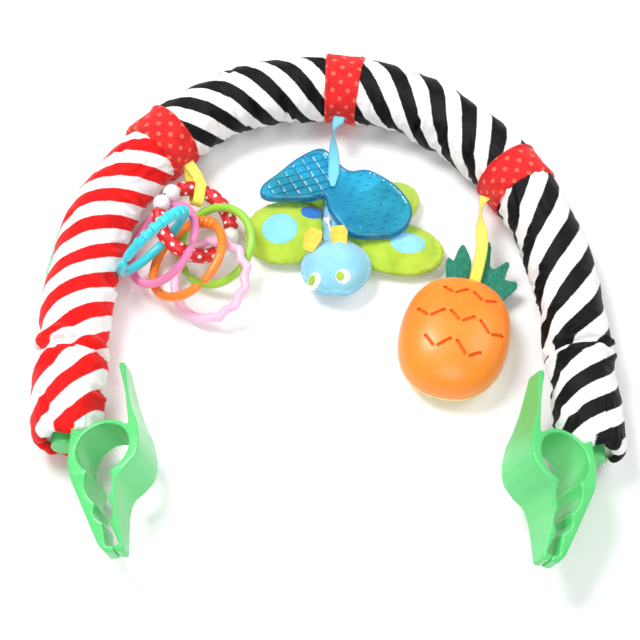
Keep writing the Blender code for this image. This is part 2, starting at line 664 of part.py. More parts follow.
def make_clip(side, leg, place, inward, roll, shapes):
    """One clip on the end of a leg: the jaw with the post, and the lever jaw on its own pivot."""
    across = Vector((inward * math.cos(roll), 0.0, math.sin(roll)))
    up = Vector((0.0, 1.0, 0.0))
    through = across.cross(up)
    frame = Matrix((across, up, through)).transposed().to_4x4()
    frame.translation = place
    swivel = pivot(side + "_clip_pivot", place, leg)
    crown = frame @ Vector((CLIP_REACH, CLIP_BORE + CLIP_CROWN_WALL, 0.0))
    hinge = pivot(side + "_lever_pivot", crown, swivel)
    fixed = add(side + "_clip_fixed_jaw", shapes[0].data, MINT, frame)
    lever = add(side + "_clip_lever_jaw", shapes[1].data, MINT, frame)
    hang(fixed, swivel)
    hang(lever, hinge)


def make_clips(left, right):
    shapes = make_clip_meshes()
    left_end = arch_at(0.0)[0] - Vector((0.0, CLIP_DROP, 0.0))
    right_end = arch_at(WHOLE)[0] - Vector((0.0, CLIP_DROP, 0.0))
    make_clip("left", left, left_end, 1.0, LEFT_ROLL, shapes)
    make_clip("right", right, right_end, -1.0, RIGHT_ROLL, shapes)


# Rings toy
def ring_point(frame, radius, turn):
    angle = math.radians(turn)
    return frame @ Vector((radius * math.cos(angle), radius * math.sin(angle), 0.0))


def ring_tube(name, frame, radius, start, end, outer, mat, steps, radii=None, caps=True):
    """A bent tube on a circle, between two turns in degrees."""
    turns = stations(start, end, steps)
    points = [ring_point(frame, radius, turn) for turn in turns]
    return wire(name, points, outer, mat, radii, caps=caps)


def hollow(obj, wall):
    obj = meshed(obj)
    shell = obj.modifiers.new("Wall", "SOLIDIFY")
    shell.thickness = wall
    shell.offset = -1.0
    return obj


def make_big_ring(swing, frame):
    """The core ring, its two dotted sleeves and its four beads."""
    turns = [360.0 * step / 26 for step in range(26)]
    points = [ring_point(frame, RING_RADIUS, turn) for turn in turns]
    core = wire("big_ring_core", points, RING_CORE, ("white_ring_core", (0.9, 0.9, 0.9), 0.5),
                closed=True, rounds=1)
    hang(core, swing)
    dotted = ("red_dotted_sleeve", (0.78, 0.04, 0.06), 0.6)
    for name, (start, end) in zip(("upper", "lower"), SLEEVE_TURNS):
        sleeve_tube = ring_tube("ring_sleeve_" + name, frame, RING_RADIUS, start, end, SLEEVE_RADIUS,
                                dotted, 10, caps=False)
        hang(hollow(sleeve_tube, SLEEVE_RADIUS - RING_CORE - GAP), swing)
    white = ("white_bead", (0.93, 0.93, 0.93), 0.35)
    for number, turn in enumerate(BEAD_TURNS, 1):
        hang(make_bead("ring_bead_%d" % number, frame, turn, white), swing)


def make_bead(name, frame, turn, mat):
    """A round bead threaded on the ring, turned about the ring's own line."""
    bore = RING_CORE + GAP + BEAD_RADIUS ** 2 / (2 * RING_RADIUS)
    steps = 6
    low = math.asin(bore / BEAD_RADIUS)
    profile = []
    for step in range(steps + 1):
        angle = low + (math.pi - 2 * low) * step / steps
        profile.append((BEAD_RADIUS * math.sin(angle), BEAD_RADIUS * math.cos(angle)))
    place = frame.copy()
    place.translation = ring_point(frame, RING_RADIUS, turn)
    along = Matrix.Rotation(math.radians(turn), 4, "Z") @ Matrix.Rotation(math.radians(-90.0), 4, "X")
    return turned(name, profile, mat, place @ along, steps=12)


def link_radii(kind, steps):
    """Bumps, ribs or waves along a link, as factors of its tube."""
    factors = []
    for step in range(steps):
        share = step / (steps - 1)
        bump = 0.0
        if kind == "bumps" and 0.30 < share < 0.62:
            bump = max(0.0, math.cos(share * 2 * math.pi * 14))
        if kind == "ribs" and 0.10 < share < 0.40:
            bump = max(0.0, math.cos(share * 2 * math.pi * 14))
        if kind == "waves" and 0.50 < share < 0.98:
            bump = 0.5 + 0.5 * math.cos(share * 2 * math.pi * 14)
        factors.append(1.0 + bump * BUMP_HEIGHT / LINK_TUBE)
    return factors


def make_link(name, radius, tube, sizes, colour, kind, swing, ring_place):
    """A split link: an open round tube whose two ends nearly meet."""
    shares, tilts, slit_turn = sizes
    place = ring_place + Vector(shares) * RING_RADIUS
    frame = disc_frame(place, tilts)
    half = math.degrees(LINK_SLIT / radius) / 2
    steps = 37 if kind != "plain" else 25
    obj = ring_tube(name, frame, radius, slit_turn + half, slit_turn + 360.0 - half, tube,
                    (name + "_plastic", colour, 0.35), steps, link_radii(kind, steps))
    obj.data.bevel_resolution = 1
    hang(obj, pivot(name + "_pivot", place, swing))


def make_rings(swing):
    place = band_face(LEFT_SEAM) + Vector(RING_HANG)
    frame = disc_frame(place, RING_TILTS)
    make_big_ring(swing, frame)
    make_link("green_link", GREEN_LINK_RADIUS, LINK_TUBE, GREEN_LINK_SHARES, (0.35, 0.68, 0.08),
              "bumps", swing, place)
    make_link("orange_link", ORANGE_LINK_RADIUS, THICK_LINK_TUBE, ORANGE_LINK_SHARES,
              (1.0, 0.30, 0.03), "ribs", swing, place)
    make_link("pink_link", PINK_LINK_RADIUS, LINK_TUBE, PINK_LINK_SHARES, (1.0, 0.30, 0.55),
              "plain", swing, place)
    make_link("cyan_link", CYAN_LINK_RADIUS, THICK_LINK_TUBE, CYAN_LINK_SHARES, (0.06, 0.75, 0.85),
              "bumps", swing, place)
    make_link("rose_link", ROSE_LINK_RADIUS, THICK_LINK_TUBE, ROSE_LINK_SHARES, (1.0, 0.60, 0.80),
              "waves", swing, place)
    make_ring_ribbon(swing, frame)


def make_ring_ribbon(swing, frame):
    """A ribbon from the band, over the ring's tube, round it in a slack loop and back to the band."""
    inner = band_face(LEFT_SEAM)
    way = arch_at(LEFT_SEAM)[1]
    tube = ring_point(frame, RING_RADIUS, RING_RIBBON_TURN)
    away = (tube - frame.translation).normalized()
    rise = frame.col[2].to_3d()
    reach = SLEEVE_RADIUS + RIBBON_WALL / 2 + 2 * GAP

    def round_tube(turn):
        return tube + (away * math.cos(math.radians(turn)) + rise * math.sin(math.radians(turn))) * reach

    apart = Vector((0.0, 0.0, RIBBON_WALL + GAP))
    loop = tube - away * (SLEEVE_RADIUS + reach)
    start = inner + apart
    end = inner - apart
    over = [round_tube(turn) for turn in (65.0, 90.0, 115.0)]
    under = [round_tube(turn) for turn in (-115.0, -90.0, -65.0)]
    route = [start, start.lerp(over[0], 0.5) + rise * reach / 4, *over, loop + rise * reach / 2,
             loop - rise * reach / 2, *under, end.lerp(under[-1], 0.5) - rise * reach / 4, end]
    middle = smooth_through(route, 3)
    along = away.cross(rise)
    count = len(middle) - 1
    sides = [way.lerp(along, 1.0 - abs(2.0 * at / count - 1.0) ** 3) for at in range(count + 1)]
    strip("ring_ribbon", middle, sides, RIBBON_WIDTH, RIBBON_WALL, YELLOW_RIBBON, swing)


def band_face(seam):
    """Where a ribbon leaves its band, on the inner side of the arch."""
    point, _ = arch_at(seam)
    return point - outward(seam) * (BAND_RADIUS + GAP)


# Butterfly toy
def fly_point(shares, height):
    middle = band_face(MIDDLE_SEAM) + Vector((*BUTTERFLY_HANG, 0.0))
    return Vector((middle.x + shares[0] * WING_SPAN, middle.y + shares[1] * WING_SPAN, height))


def lobe(name, sizes, loft, mat, grow=0.0, around=18, up=8):
    """A stuffed lobe that swells in its middle and thins to its sewn edge."""
    centre, halves, turn = sizes
    halves = (halves[0] * WING_SPAN, halves[1] * WING_SPAN, loft)
    return ellipsoid(name, fly_point(centre, REST + loft), halves, turn, mat, grow, around, up)


GREEN_FELT = ("green_velour", (0.45, 0.72, 0.10), 0.95)
BLUE_FELT = ("pale_blue_velour", (0.35, 0.68, 0.88), 0.95)


def make_stuffed_toy(hinge):
    """Head, body and four wing lobes, each cut back where a larger one fills the space."""
    head_sizes = (*HEAD_SHARES, 0.0)
    body_sizes = (*BODY_SHARES, 0.0)
    head = lobe("butterfly_head", head_sizes, HEAD_LOFT, BLUE_FELT, around=22, up=12)
    body = lobe("butterfly_body", body_sizes, WING_LOFT, BLUE_FELT)
    near_head = as_cutter(lobe("room_for_head", head_sizes, HEAD_LOFT, None, GAP, 22, 12))
    near_body = as_cutter(lobe("room_for_body", body_sizes, WING_LOFT, None, GAP))
    patch_room = 2 * GAP + PATCH_LIFT
    boolean(body, near_head)
    wings = {}
    for name, sizes in (("left_lower_wing", LEFT_LOWER_WING), ("right_lower_wing", RIGHT_LOWER_WING),
                        ("left_upper_wing", LEFT_UPPER_WING), ("right_upper_wing", RIGHT_UPPER_WING)):
        wing = lobe(name, sizes, WING_LOFT, GREEN_FELT, around=20)
        boolean(wing, near_head)
        boolean(wing, near_body)
        wings[name] = wing
    for side, sizes in (("left", LEFT_LOWER_WING), ("right", RIGHT_LOWER_WING)):
        near = as_cutter(lobe("room_for_%s_lower" % side, sizes, WING_LOFT, None, patch_room, 20))
        boolean(wings[side + "_upper_wing"], near)
    for obj in (head, body, *wings.values()):
        hang(obj, hinge)
    return head


def patch(name, carrier_sizes, loft, place, halves, mat, hinge, around, up):
    """A sewn patch: a thin skin of the carrier's own form, cut out by an oval bar."""
    skin = lobe(name, carrier_sizes, loft, mat, GAP + PATCH_LIFT, around, up)
    inside = as_cutter(lobe("under_" + name, carrier_sizes, loft, None, GAP, around, up))
    bar = cylinder("outline_" + name, 1.0, 0.0, 1.0, None, sides=20)
    middle = fly_point(place, REST + loft)
    bar.data.transform(Matrix.Diagonal((halves[0] * WING_SPAN, halves[1] * WING_SPAN, 2 * loft, 1.0)))
    bar.matrix_world = Matrix.Translation(middle)
    boolean(skin, as_cutter(bar), "INTERSECT")
    boolean(skin, inside)
    return hang(skin, hinge)


def make_patches(hinge):
    """Round patches on the wings and two oval eyes on the head."""
    pale = ("light_blue_patch", (0.45, 0.75, 0.92), 0.95)
    deep = ("deep_blue_patch", (0.05, 0.22, 0.65), 0.95)
    white = ("white_felt", (0.95, 0.95, 0.95), 0.9)
    patch("left_wing_patch", LEFT_LOWER_WING, WING_LOFT, (-0.365, -0.015), (0.120, 0.118), pale, hinge,
          20, 8)
    patch("right_wing_patch", RIGHT_LOWER_WING, WING_LOFT, (0.470, -0.130), (0.118, 0.085), pale,
          hinge, 20, 8)
    patch("deep_blue_patch", LEFT_LOWER_WING, WING_LOFT, (-0.158, 0.125), (0.072, 0.060), deep, hinge,
          20, 8)
    head_sizes = (*HEAD_SHARES, 0.0)
    patch("left_eye", head_sizes, HEAD_LOFT, (-0.147, -0.450), (0.045, 0.040), white, hinge, 22, 12)
    patch("right_eye", head_sizes, HEAD_LOFT, (0.045, -0.450), (0.060, 0.048), white, hinge, 22, 12)


def make_ears(hinge):
    """Two folded felt feelers on top of the head, cut back to it."""
    felt = ("yellow_felt", (0.95, 0.78, 0.25), 0.95)
    room = as_cutter(lobe("head_under_ears", (*HEAD_SHARES, 0.0), HEAD_LOFT, None, GAP, 22, 12))
    high = REST + 2 * HEAD_LOFT - EAR_THICKNESS
    for name, place, turn in (("left_feeler", (-0.150, -0.165), 112.0),
                              ("right_feeler", (0.022, -0.128), 128.0)):
        halves = (EAR_LENGTH / 2, EAR_WIDTH / 2, EAR_THICKNESS / 2)
        ear = ellipsoid(name, fly_point(place, high), halves, turn, felt, around=12, up=8)
        boolean(ear, room)
        hang(ear, hinge)


def body_top(shares):
    """Height of the stuffed body's upper side over a place in shares of the wing span."""
    centre, halves = BODY_SHARES
    away = sum(((shares[at] - centre[at]) / halves[at]) ** 2 for at in range(2))
    return REST + WING_LOFT * (1.0 + math.sqrt(max(0.0, 1.0 - away)))


def make_teether(swing):
    """A flat water teether in the shape of two wings, and the ribbon that lies over its middle."""
    outline = [fly_point(share, 0.0) for share in TEETHER_SHARES]
    points = smooth_through(outline, 2, closed=True)
    clear = ("clear_blue_teether", (0.03, 0.42, 0.70), 0.15, 0.0, 0.8)
    plate = flat_outline("clear_teether", points, TEETHER_WALL, clear, TEETHER_EDGE,
                         TEETHER_FLOOR + TEETHER_WALL / 2)
    hang(plate, swing)
    make_teether_ribbon(swing)
    cord = [fly_point(share, body_top(share) + RIBBON_WALL + GAP) for share in TIE_SHARES]
    tie = wire("white_tie_cord", smooth_through(cord, 3), RIBBON_WALL, ("white_cord", (0.95,) * 3, 0.8),
               rounds=1)
    hang(tie, swing)


def make_teether_ribbon(swing):
    """A ribbon from the middle band that turns over once and lies flat over the teether."""
    top = TEETHER_FLOOR + TEETHER_WALL + 2 * GAP + RIBBON_WALL / 2
    inner = band_face(MIDDLE_SEAM)
    twist = fly_point((-0.010, 0.620), top)
    route = [inner, inner.lerp(twist, 0.5), twist, fly_point((-0.010, 0.420), top),
             fly_point((-0.020, 0.250), top)]
    middle = smooth_through(route, 4)
    way = arch_at(MIDDLE_SEAM)[1]
    sides = []
    for at, point in enumerate(middle):
        turn = math.pi * min(1.0, max(0.0, at / len(middle) * 1.6 - 0.2))
        sides.append(way * math.cos(turn) + Vector((0.0, 0.0, math.sin(turn))))
        point.z = max(point.z, top + RIBBON_WIDTH / 2 * math.sin(turn))
    strip("teether_ribbon", middle, sides, RIBBON_WIDTH, RIBBON_WALL, BLUE_RIBBON, swing)


# Pineapple toy
def pine_frame():
    middle = band_face(RIGHT_SEAM) + Vector((*PINE_HANG, 0.0))
    place = Matrix.Translation((middle.x, middle.y, 0.0))
    return place @ Matrix.Rotation(PINE_LEAN, 4, "Z")


def dome(radius, low, high, steps):
    """A rounded dome as (radius, height), from its top on the axis down to its rim."""
    points = []
    for step in range(steps + 1):
        angle = math.pi / 2 * step / steps
        points.append((radius * math.sin(angle) ** 0.85, low + (high - low) * math.cos(angle) ** 0.9))
    points[-1] = (radius, low)
    return points


PINE_OVAL = PINE_HALF_LENGTH / PINE_HALF_WIDTH
SHELL_STEPS = 28             # facets round both shells, so that they line up
BACK_FLOOR = REST + SHELL_WALL


def make_front_shell(press, frame):
    """The glossy front that is pressed, with its zigzag sound slots and its inner boss."""
    swell = PINE_RIM + SKIRT / 2
    outer = dome(PINE_HALF_WIDTH, swell, PINE_TOP, 7) + [(PINE_HALF_WIDTH, PINE_RIM)]
    inner = [(PINE_HALF_WIDTH - SHELL_WALL, PINE_RIM)]
    inner += list(reversed(dome(PINE_HALF_WIDTH - SHELL_WALL, swell, PINE_TOP - SHELL_WALL, 7)))
    boss_low = dome_top() + GAP
    inner = inner[:-2] + [(DOME_RADIUS, inner[-2][1]), (DOME_RADIUS, boss_low), (0.0, boss_low)]
    orange = ("orange_gloss_plastic", (0.95, 0.30, 0.02), 0.25)
    shell = turned("pineapple_front_shell", outer + inner, orange, frame, SHELL_STEPS, PINE_OVAL,
                   PINE_SQUARE_SHARE)
    boolean(shell, make_slots(frame))
    return hang(meshed(shell), press)


def make_slots(frame):
    """All zigzag slots as one cutter: a slim bar from corner to corner of each."""
    made = bmesh.new()
    for corners in SLOT_SHARES:
        points = [Vector((x * PINE_HALF_WIDTH, y * PINE_HALF_LENGTH, 0.0)) for x, y in corners]
        way = points[1] - points[0]
        size = Matrix.Diagonal((way.length, SLOT_WIDTH, PINE_TOP, 1.0))
        turn = Matrix.Rotation(math.atan2(way.y, way.x), 4, "Z")
        middle = (points[0] + points[1]) / 2 + Vector((0.0, 0.0, PINE_RIM + SKIRT + PINE_TOP / 2))
        bmesh.ops.create_cube(made, size=1.0, matrix=Matrix.Translation(middle) @ turn @ size)
    return as_cutter(add("slot_cutter", mesh_from(made, "slot_cutter"), None, frame))


def case_top():
    return BACK_FLOOR + GAP + CASE_HEIGHT


def dome_top():
    return case_top() + DOME_HEIGHT


def make_back_shell(swing, frame):
    """The pale back shell with a flat foot, the flange under the front shell and the guiding lip."""
    flange = PINE_RIM - FLANGE_GAP
    lip = PINE_HALF_WIDTH - SHELL_WALL - RUNNING
    edge = PINE_HALF_WIDTH - RUNNING
    foot = PINE_HALF_WIDTH * FOOT_SHARE
    lip_top = PINE_RIM + SKIRT * 0.6
    outer = [(lip, lip_top), (lip, flange), (edge, flange), (edge, flange - SHELL_WALL),
             ((edge + foot) / 2 + SHELL_WALL, flange / 3), (foot, REST)]
    hole = SCREW_RADIUS + GAP
    outer += [(hole, REST), (hole, BACK_FLOOR)]
    inner = [(foot - SHELL_WALL / 2, BACK_FLOOR),
             ((edge + foot) / 2 - SHELL_WALL / 2, flange / 3 + SHELL_WALL),
             (lip - SHELL_WALL, flange), (lip - SHELL_WALL, lip_top)]
    cream = ("pale_yellow_plastic", (0.95, 0.80, 0.35), 0.4)
    shell = turned("pineapple_back_shell", outer + inner, cream, frame, SHELL_STEPS, PINE_OVAL,
                   PINE_SQUARE_SHARE)
    return hang(shell, swing)


def make_module(swing, frame):
    """The melody module in the back shell: cup, cells, board, speaker and rubber switch dome."""
    white = ("white_module_plastic", (0.9, 0.9, 0.9), 0.5)
    low = BACK_FLOOR + GAP
    wall = SHELL_WALL
    hole = SCREW_RADIUS + GAP
    cup = [(CASE_RADIUS - wall, case_top()), (CASE_RADIUS, case_top()), (CASE_RADIUS, low),
           (hole, low), (hole, low + wall), (CASE_RADIUS - wall, low + wall)]
    hang(turned("melody_module_case", cup, white, frame, 20), swing)
    steel = ("bright_steel", (0.75, 0.76, 0.78), 0.25, 1.0)
    for number in range(3):
        turn = Matrix.Rotation(math.radians(120.0 * number), 4, "Z")
        reach = CASE_RADIUS - wall - CELL_RADIUS - 2 * GAP
        spot = frame @ turn @ Matrix.Translation((reach, 0.0, 0.0))
        base = low + wall + GAP
        hang(cylinder("button_cell_%d" % (number + 1), CELL_RADIUS, base, base + CELL_HEIGHT, steel,
                      spot, 16), swing)
    board_low = low + wall + 2 * GAP + CELL_HEIGHT
    board_top = board_low + FELT
    green = ("green_circuit_board", (0.05, 0.35, 0.12), 0.5)
    hang(cylinder("sound_circuit_board", BOARD_RADIUS, board_low, board_top, green, frame, 24), swing)
    black = ("black_speaker", (0.03, 0.03, 0.03), 0.6)
    speaker_top = board_top + GAP + SPEAKER_HEIGHT
    hang(cylinder("speaker", SPEAKER_RADIUS, board_top + GAP, speaker_top, black, frame, 24), swing)
    rubber = ("grey_rubber", (0.5, 0.5, 0.52), 0.8)
    hang(cylinder("switch_dome", DOME_RADIUS, speaker_top + GAP, dome_top() - GAP, rubber, frame, 16), swing)
    screw_low = REST + SHELL_WALL / 2
    hang(cylinder("module_screw", SCREW_RADIUS, screw_low, low + wall, steel, frame, 16), swing)


def make_leaf(name, shares, frame, swing, height):
    """A group of felt leaves, cut from one flat outline and seated on the back shell's flange."""
    edge = PINE_HALF_WIDTH - RUNNING
    root = edge * PINE_OVAL
    points = [(x * PINE_HALF_WIDTH, y * PINE_HALF_WIDTH, 0.0) for x, y in shares]
    outline = smooth_through(points, 2, closed=True)
    leaf = meshed(flat_outline(name, outline, FELT, ("green_felt_leaf", (0.03, 0.42, 0.22), 0.95)))
    place = Matrix.Translation((0.0, root, height))
    leaf.matrix_world = frame @ place @ Matrix.Rotation(LEAF_TILT, 4, "X")
    seat = edge + GAP
    profile = [(0.0, height + FELT * 4), (seat, height + FELT * 4), (seat, 0.0), (0.0, 0.0)]
    shell = turned("seat_of_" + name, profile, None, frame, SHELL_STEPS, PINE_OVAL, PINE_SQUARE_SHARE)
    boolean(leaf, as_cutter(shell))
    return hang(leaf, swing)


def make_pineapple(swing, press):
    frame = pine_frame()
    make_front_shell(press, frame)
    make_back_shell(swing, frame)
    make_module(swing, frame)
    height = PINE_RIM - FLANGE_GAP - FELT / 2
    make_leaf("left_felt_leaf", LEFT_LEAF_SHARES, frame, swing, height)
    make_leaf("right_felt_leaf", RIGHT_LEAF_SHARES, frame, swing, height)
    inner = band_face(RIGHT_SEAM)
    way = arch_at(RIGHT_SEAM)[1]
    root = frame @ Vector((RIBBON_WIDTH / 2, PINE_HALF_LENGTH + RUNNING + 4 * GAP, 0.0))
    high = height + 3 * FELT
    route = [inner, inner.lerp(root, 0.28) + Vector((-RIBBON_WIDTH / 4, 0.0, 0.0)),
             inner.lerp(root, 0.62) + Vector((RIBBON_WIDTH / 4, 0.0, 0.0)), root + Vector((0.0, 0.0, high))]
    route[1].z = TUBE_HEIGHT + FELT
    route[2].z = TUBE_HEIGHT
    middle = smooth_through(route, 4)
    sides = []
    for at in range(len(middle)):
        share = at / (len(middle) - 1)
        flat = way.lerp(Vector((1.0, 0.0, 0.0)), min(1.0, share * 2))
        turn = math.radians(75.0) * math.sin(math.pi * min(1.0, share * 1.8))
        sides.append(flat.normalized() * math.cos(turn) + Vector((0.0, 0.0, math.sin(turn))))
    strip("pineapple_ribbon", middle, sides, RIBBON_WIDTH, RIBBON_WALL, YELLOW_RIBBON, swing)


def main():
    clear_scene()
    left, right = make_arch()
    make_clips(left, right)
    make_rings(pivot("rings_swing_pivot", band_face(LEFT_SEAM)))
    fly = pivot("butterfly_swing_pivot", band_face(MIDDLE_SEAM))
    stuffed = pivot("stuffed_toy_pivot", fly_point((0.0, 0.42), REST + 2 * WING_LOFT), fly)
    make_teether(fly)
    make_stuffed_toy(stuffed)
    make_patches(stuffed)
    make_ears(stuffed)
    pine = pivot("pineapple_swing_pivot", band_face(RIGHT_SEAM))
    press = pivot("pineapple_press_pivot", pine_frame().translation, pine)
    make_pineapple(pine, press)


main()
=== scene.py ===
"""Looks of the stroller play arch: striped covers, dotted bands, clips and the three hanging toys."""
import math

import bmesh
import bpy
import numpy as np
from mathutils import Matrix, Vector, noise


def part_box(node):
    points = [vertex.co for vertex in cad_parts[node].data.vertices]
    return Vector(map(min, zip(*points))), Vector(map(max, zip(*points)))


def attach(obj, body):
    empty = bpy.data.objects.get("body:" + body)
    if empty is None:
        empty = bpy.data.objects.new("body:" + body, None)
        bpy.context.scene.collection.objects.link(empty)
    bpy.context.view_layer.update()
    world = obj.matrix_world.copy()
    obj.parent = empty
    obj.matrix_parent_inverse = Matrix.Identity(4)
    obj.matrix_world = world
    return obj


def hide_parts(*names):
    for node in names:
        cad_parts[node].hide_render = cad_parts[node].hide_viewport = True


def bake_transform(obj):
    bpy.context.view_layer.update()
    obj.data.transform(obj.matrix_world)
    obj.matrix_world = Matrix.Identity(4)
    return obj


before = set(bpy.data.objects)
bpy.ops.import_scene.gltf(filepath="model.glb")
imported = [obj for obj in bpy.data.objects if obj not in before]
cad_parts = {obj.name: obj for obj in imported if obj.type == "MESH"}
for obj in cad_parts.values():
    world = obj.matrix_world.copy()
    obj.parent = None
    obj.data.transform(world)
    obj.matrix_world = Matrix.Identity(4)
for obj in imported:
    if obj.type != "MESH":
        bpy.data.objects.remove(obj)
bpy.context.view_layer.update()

MM = 0.001
GAP = 0.3 * MM
RIBBON_WIDTH = 8.5 * MM
RIBBON_WALL = 0.8 * MM

# Arch, as the solids have it
ARCH_RADIUS = 0.176
ARCH_SHIFT = (-0.0015, 0.0080)
LEFT_LEG = 0.112
RIGHT_LEG = 0.122
TUBE_HEIGHT = 0.026116
CURVE_SHARES = ((-0.977, 0.0), (-0.896, 0.371), (-0.689, 0.689), (-0.383, 0.924), (0.0, 0.996),
                (0.377, 0.907), (0.673, 0.673), (0.871, 0.361), (0.972, 0.0))
LEFT_LEG_SHARES = ((-0.994, -1.0), (-0.996, -0.72), (-0.991, -0.40))
RIGHT_LEG_SHARES = ((0.996, -0.38), (1.015, -0.70), (1.020, -1.0))
ROD_RADIUS = 0.0055
FOAM_RADIUS = 0.0205
ROD_INSET = 0.0225           # the rod starts beyond the clip's post
COVER_BORE = 0.0211
RED_RADIUS = 0.0252
COVER_LIMIT = 0.0268         # no fold of a cover stands out beyond this
ZEBRA_RADIUS = 0.0236
BAND_RADIUS = 0.0250
BAND_WIDTH = 0.0264
BAND_FLAT = 0.025416         # a solid band's reach on its flat sides, where its ribbon is sewn on
SEAM_SPLIT = 0.0076
HEM_OVERHANG = 0.0026
FLEX_SPAN = 0.045            # a length below a band, passed to bend_with with each leg piece

# Camera: the photograph's view
TARGET = Vector((-0.0045, -0.0120, 0.0200))
ELEVATION = math.radians(60.0)
DISTANCE = 1.5
LENS = 120.5
SENSOR = 36.0


def linear(red, green, blue):
    """A screen colour, 0 to 255, as linear light."""
    shares = (red / 255, green / 255, blue / 255)
    return tuple(s / 12.92 if s <= 0.04045 else ((s + 0.055) / 1.055) ** 2.4 for s in shares)


# Materials
class Look:
    """One Principled material, built node by node."""

    def __init__(self, name, colour, roughness, **inputs):
        self.mat = bpy.data.materials.new(name)
        self.mat.use_nodes = True
        self.tree = self.mat.node_tree
        self.shader = self.tree.nodes["Principled BSDF"]
        self.set("Base Color", (*colour, 1.0))
        self.set("Roughness", roughness)
        for title, value in inputs.items():
            self.set(title.replace("_", " "), value)

    def set(self, title, value):
        self.shader.inputs[title].default_value = value

    def node(self, kind, **settings):
        made = self.tree.nodes.new(kind)
        for title, value in settings.items():
            setattr(made, title, value)
        return made

    def feed(self, value, socket):
        """Links an output, or sets a plain number or colour."""
        if isinstance(value, bpy.types.NodeSocket):
            self.tree.links.new(value, socket)
        else:
            socket.default_value = value

    def place(self):
        return self.node("ShaderNodeTexCoord").outputs["Object"]

    def cloth(self):
        return self.node("ShaderNodeUVMap", uv_map="cloth").outputs["UV"]

    def split(self, vector):
        made = self.node("ShaderNodeSeparateXYZ")
        self.feed(vector, made.inputs[0])
        return made.outputs["X"], made.outputs["Y"], made.outputs["Z"]

    def math(self, operation, first, second=0.0, clamp=False):
        made = self.node("ShaderNodeMath", operation=operation, use_clamp=clamp)
        self.feed(first, made.inputs[0])
        self.feed(second, made.inputs[1])
        return made.outputs[0]

    def vector(self, operation, first, second=(0.0, 0.0, 0.0), scale=1.0):
        made = self.node("ShaderNodeVectorMath", operation=operation)
        self.feed(first, made.inputs[0])
        if operation == "SCALE":
            made.inputs["Scale"].default_value = scale
        else:
            self.feed(second, made.inputs[1])
        return made.outputs["Value" if operation == "LENGTH" else "Vector"]

    def noise(self, scale, detail=2.0, vector=None, stretch=(1.0, 1.0, 1.0)):
        made = self.node("ShaderNodeTexNoise")
        made.inputs["Scale"].default_value = scale
        made.inputs["Detail"].default_value = detail
        source = vector if vector is not None else self.place()
        self.feed(self.vector("MULTIPLY", source, stretch), made.inputs["Vector"])
        return made.outputs["Fac"]

    def ramp(self, value, low, high, start=0.0, end=1.0):
        made = self.node("ShaderNodeMapRange", interpolation_type="SMOOTHSTEP")
        for title, given in zip(("Value", "From Min", "From Max", "To Min", "To Max"),
                                (value, low, high, start, end)):
            self.feed(given, made.inputs[title])
        return made.outputs["Result"]

    def blend(self, share, first, second):
        """A colour between two colours."""
        made = self.node("ShaderNodeMix", data_type="RGBA")
        self.feed(share, made.inputs[0])
        for given, socket in ((first, made.inputs[6]), (second, made.inputs[7])):
            self.feed((*given, 1.0) if isinstance(given, tuple) else given, socket)
        return made.outputs[2]

    def mottle(self, scale, detail, low, high, first, second):
        """Two colours in soft patches."""
        return self.blend(self.ramp(self.noise(scale, detail), low, high), first, second)

    def grain(self, scale, detail, height, strength):
        """A layer of fine uneven relief, its height in millimetres."""
        self.bump(self.noise(scale, detail), height * MM, strength)

    def colour(self, value):
        self.feed(value, self.shader.inputs["Base Color"])

    def roughness(self, value):
        self.feed(value, self.shader.inputs["Roughness"])

    def bump(self, height, distance, strength=1.0):
        """Adds one more layer of relief over those already there."""
        made = self.node("ShaderNodeBump")
        made.inputs["Distance"].default_value = distance
        made.inputs["Strength"].default_value = strength
        self.feed(height, made.inputs["Height"])
        socket = self.shader.inputs["Normal"]
        if socket.links:
            self.feed(socket.links[0].from_socket, made.inputs["Normal"])
        self.feed(made.outputs["Normal"], socket)


def weave(look, vector, pitch, distance):
    """Plain weave: threads over and under along both directions of the cloth."""
    across, along, _ = look.split(vector)
    turn = 2 * math.pi / pitch
    first = look.math("SINE", look.math("MULTIPLY", across, turn))
    second = look.math("SINE", look.math("MULTIPLY", along, turn))
    look.bump(look.math("MULTIPLY", first, second), distance, 0.6)


def dots(look, vector, pitch, radius, soft):
    """Staggered dots: 1 inside a dot, 0 outside."""
    scaled = look.vector("SCALE", vector, scale=1.0 / pitch)
    reach = []
    for shift in ((0.0, 0.0, 0.0), (0.5, 0.5, 0.0)):
        cell = look.vector("FRACTION", look.vector("ADD", scaled, shift))
        away = look.vector("SUBTRACT", cell, (0.5, 0.5, 0.0))
        reach.append(look.vector("LENGTH", away))
    nearest = look.math("MINIMUM", *reach)
    return look.ramp(nearest, radius / pitch, (radius + soft) / pitch, 1.0, 0.0)


def plush(name, dark, shade, white, roughness, sheen):
    """Short striped plush. The cloth coordinate's first number counts the stripes."""
    look = Look(name, dark, roughness, Sheen_Weight=sheen, Sheen_Roughness=0.45,
                Specular_IOR_Level=0.2)
    look.set("Sheen Tint", (1.0, 1.0, 1.0, 1.0))
    phase, _, _ = look.split(look.cloth())
    wander = look.math("MULTIPLY", look.noise(55.0, 2.0), 0.09)
    fibres = look.math("MULTIPLY", look.noise(1500.0, 1.0), 0.06)
    moved = look.math("ADD", look.math("ADD", phase, wander), fibres)
    wave = look.math("COSINE", look.math("MULTIPLY", moved, 2 * math.pi))
    share = look.ramp(wave, -0.10, 0.10)
    mottled = look.mottle(90.0, 3.0, 0.3, 0.7, dark, shade)
    # painted shade: soft lavender-grey patches mottle the white stripes
    shaded_white = look.mottle(35.0, 2.0, 0.35, 0.75, white, (0.90, 0.88, 0.89))
    look.colour(look.blend(share, mottled, shaded_white))
    look.grain(320.0, 2.0, 0.35, 0.5)
    look.grain(1900.0, 2.0, 0.22, 0.7)
    return look.mat


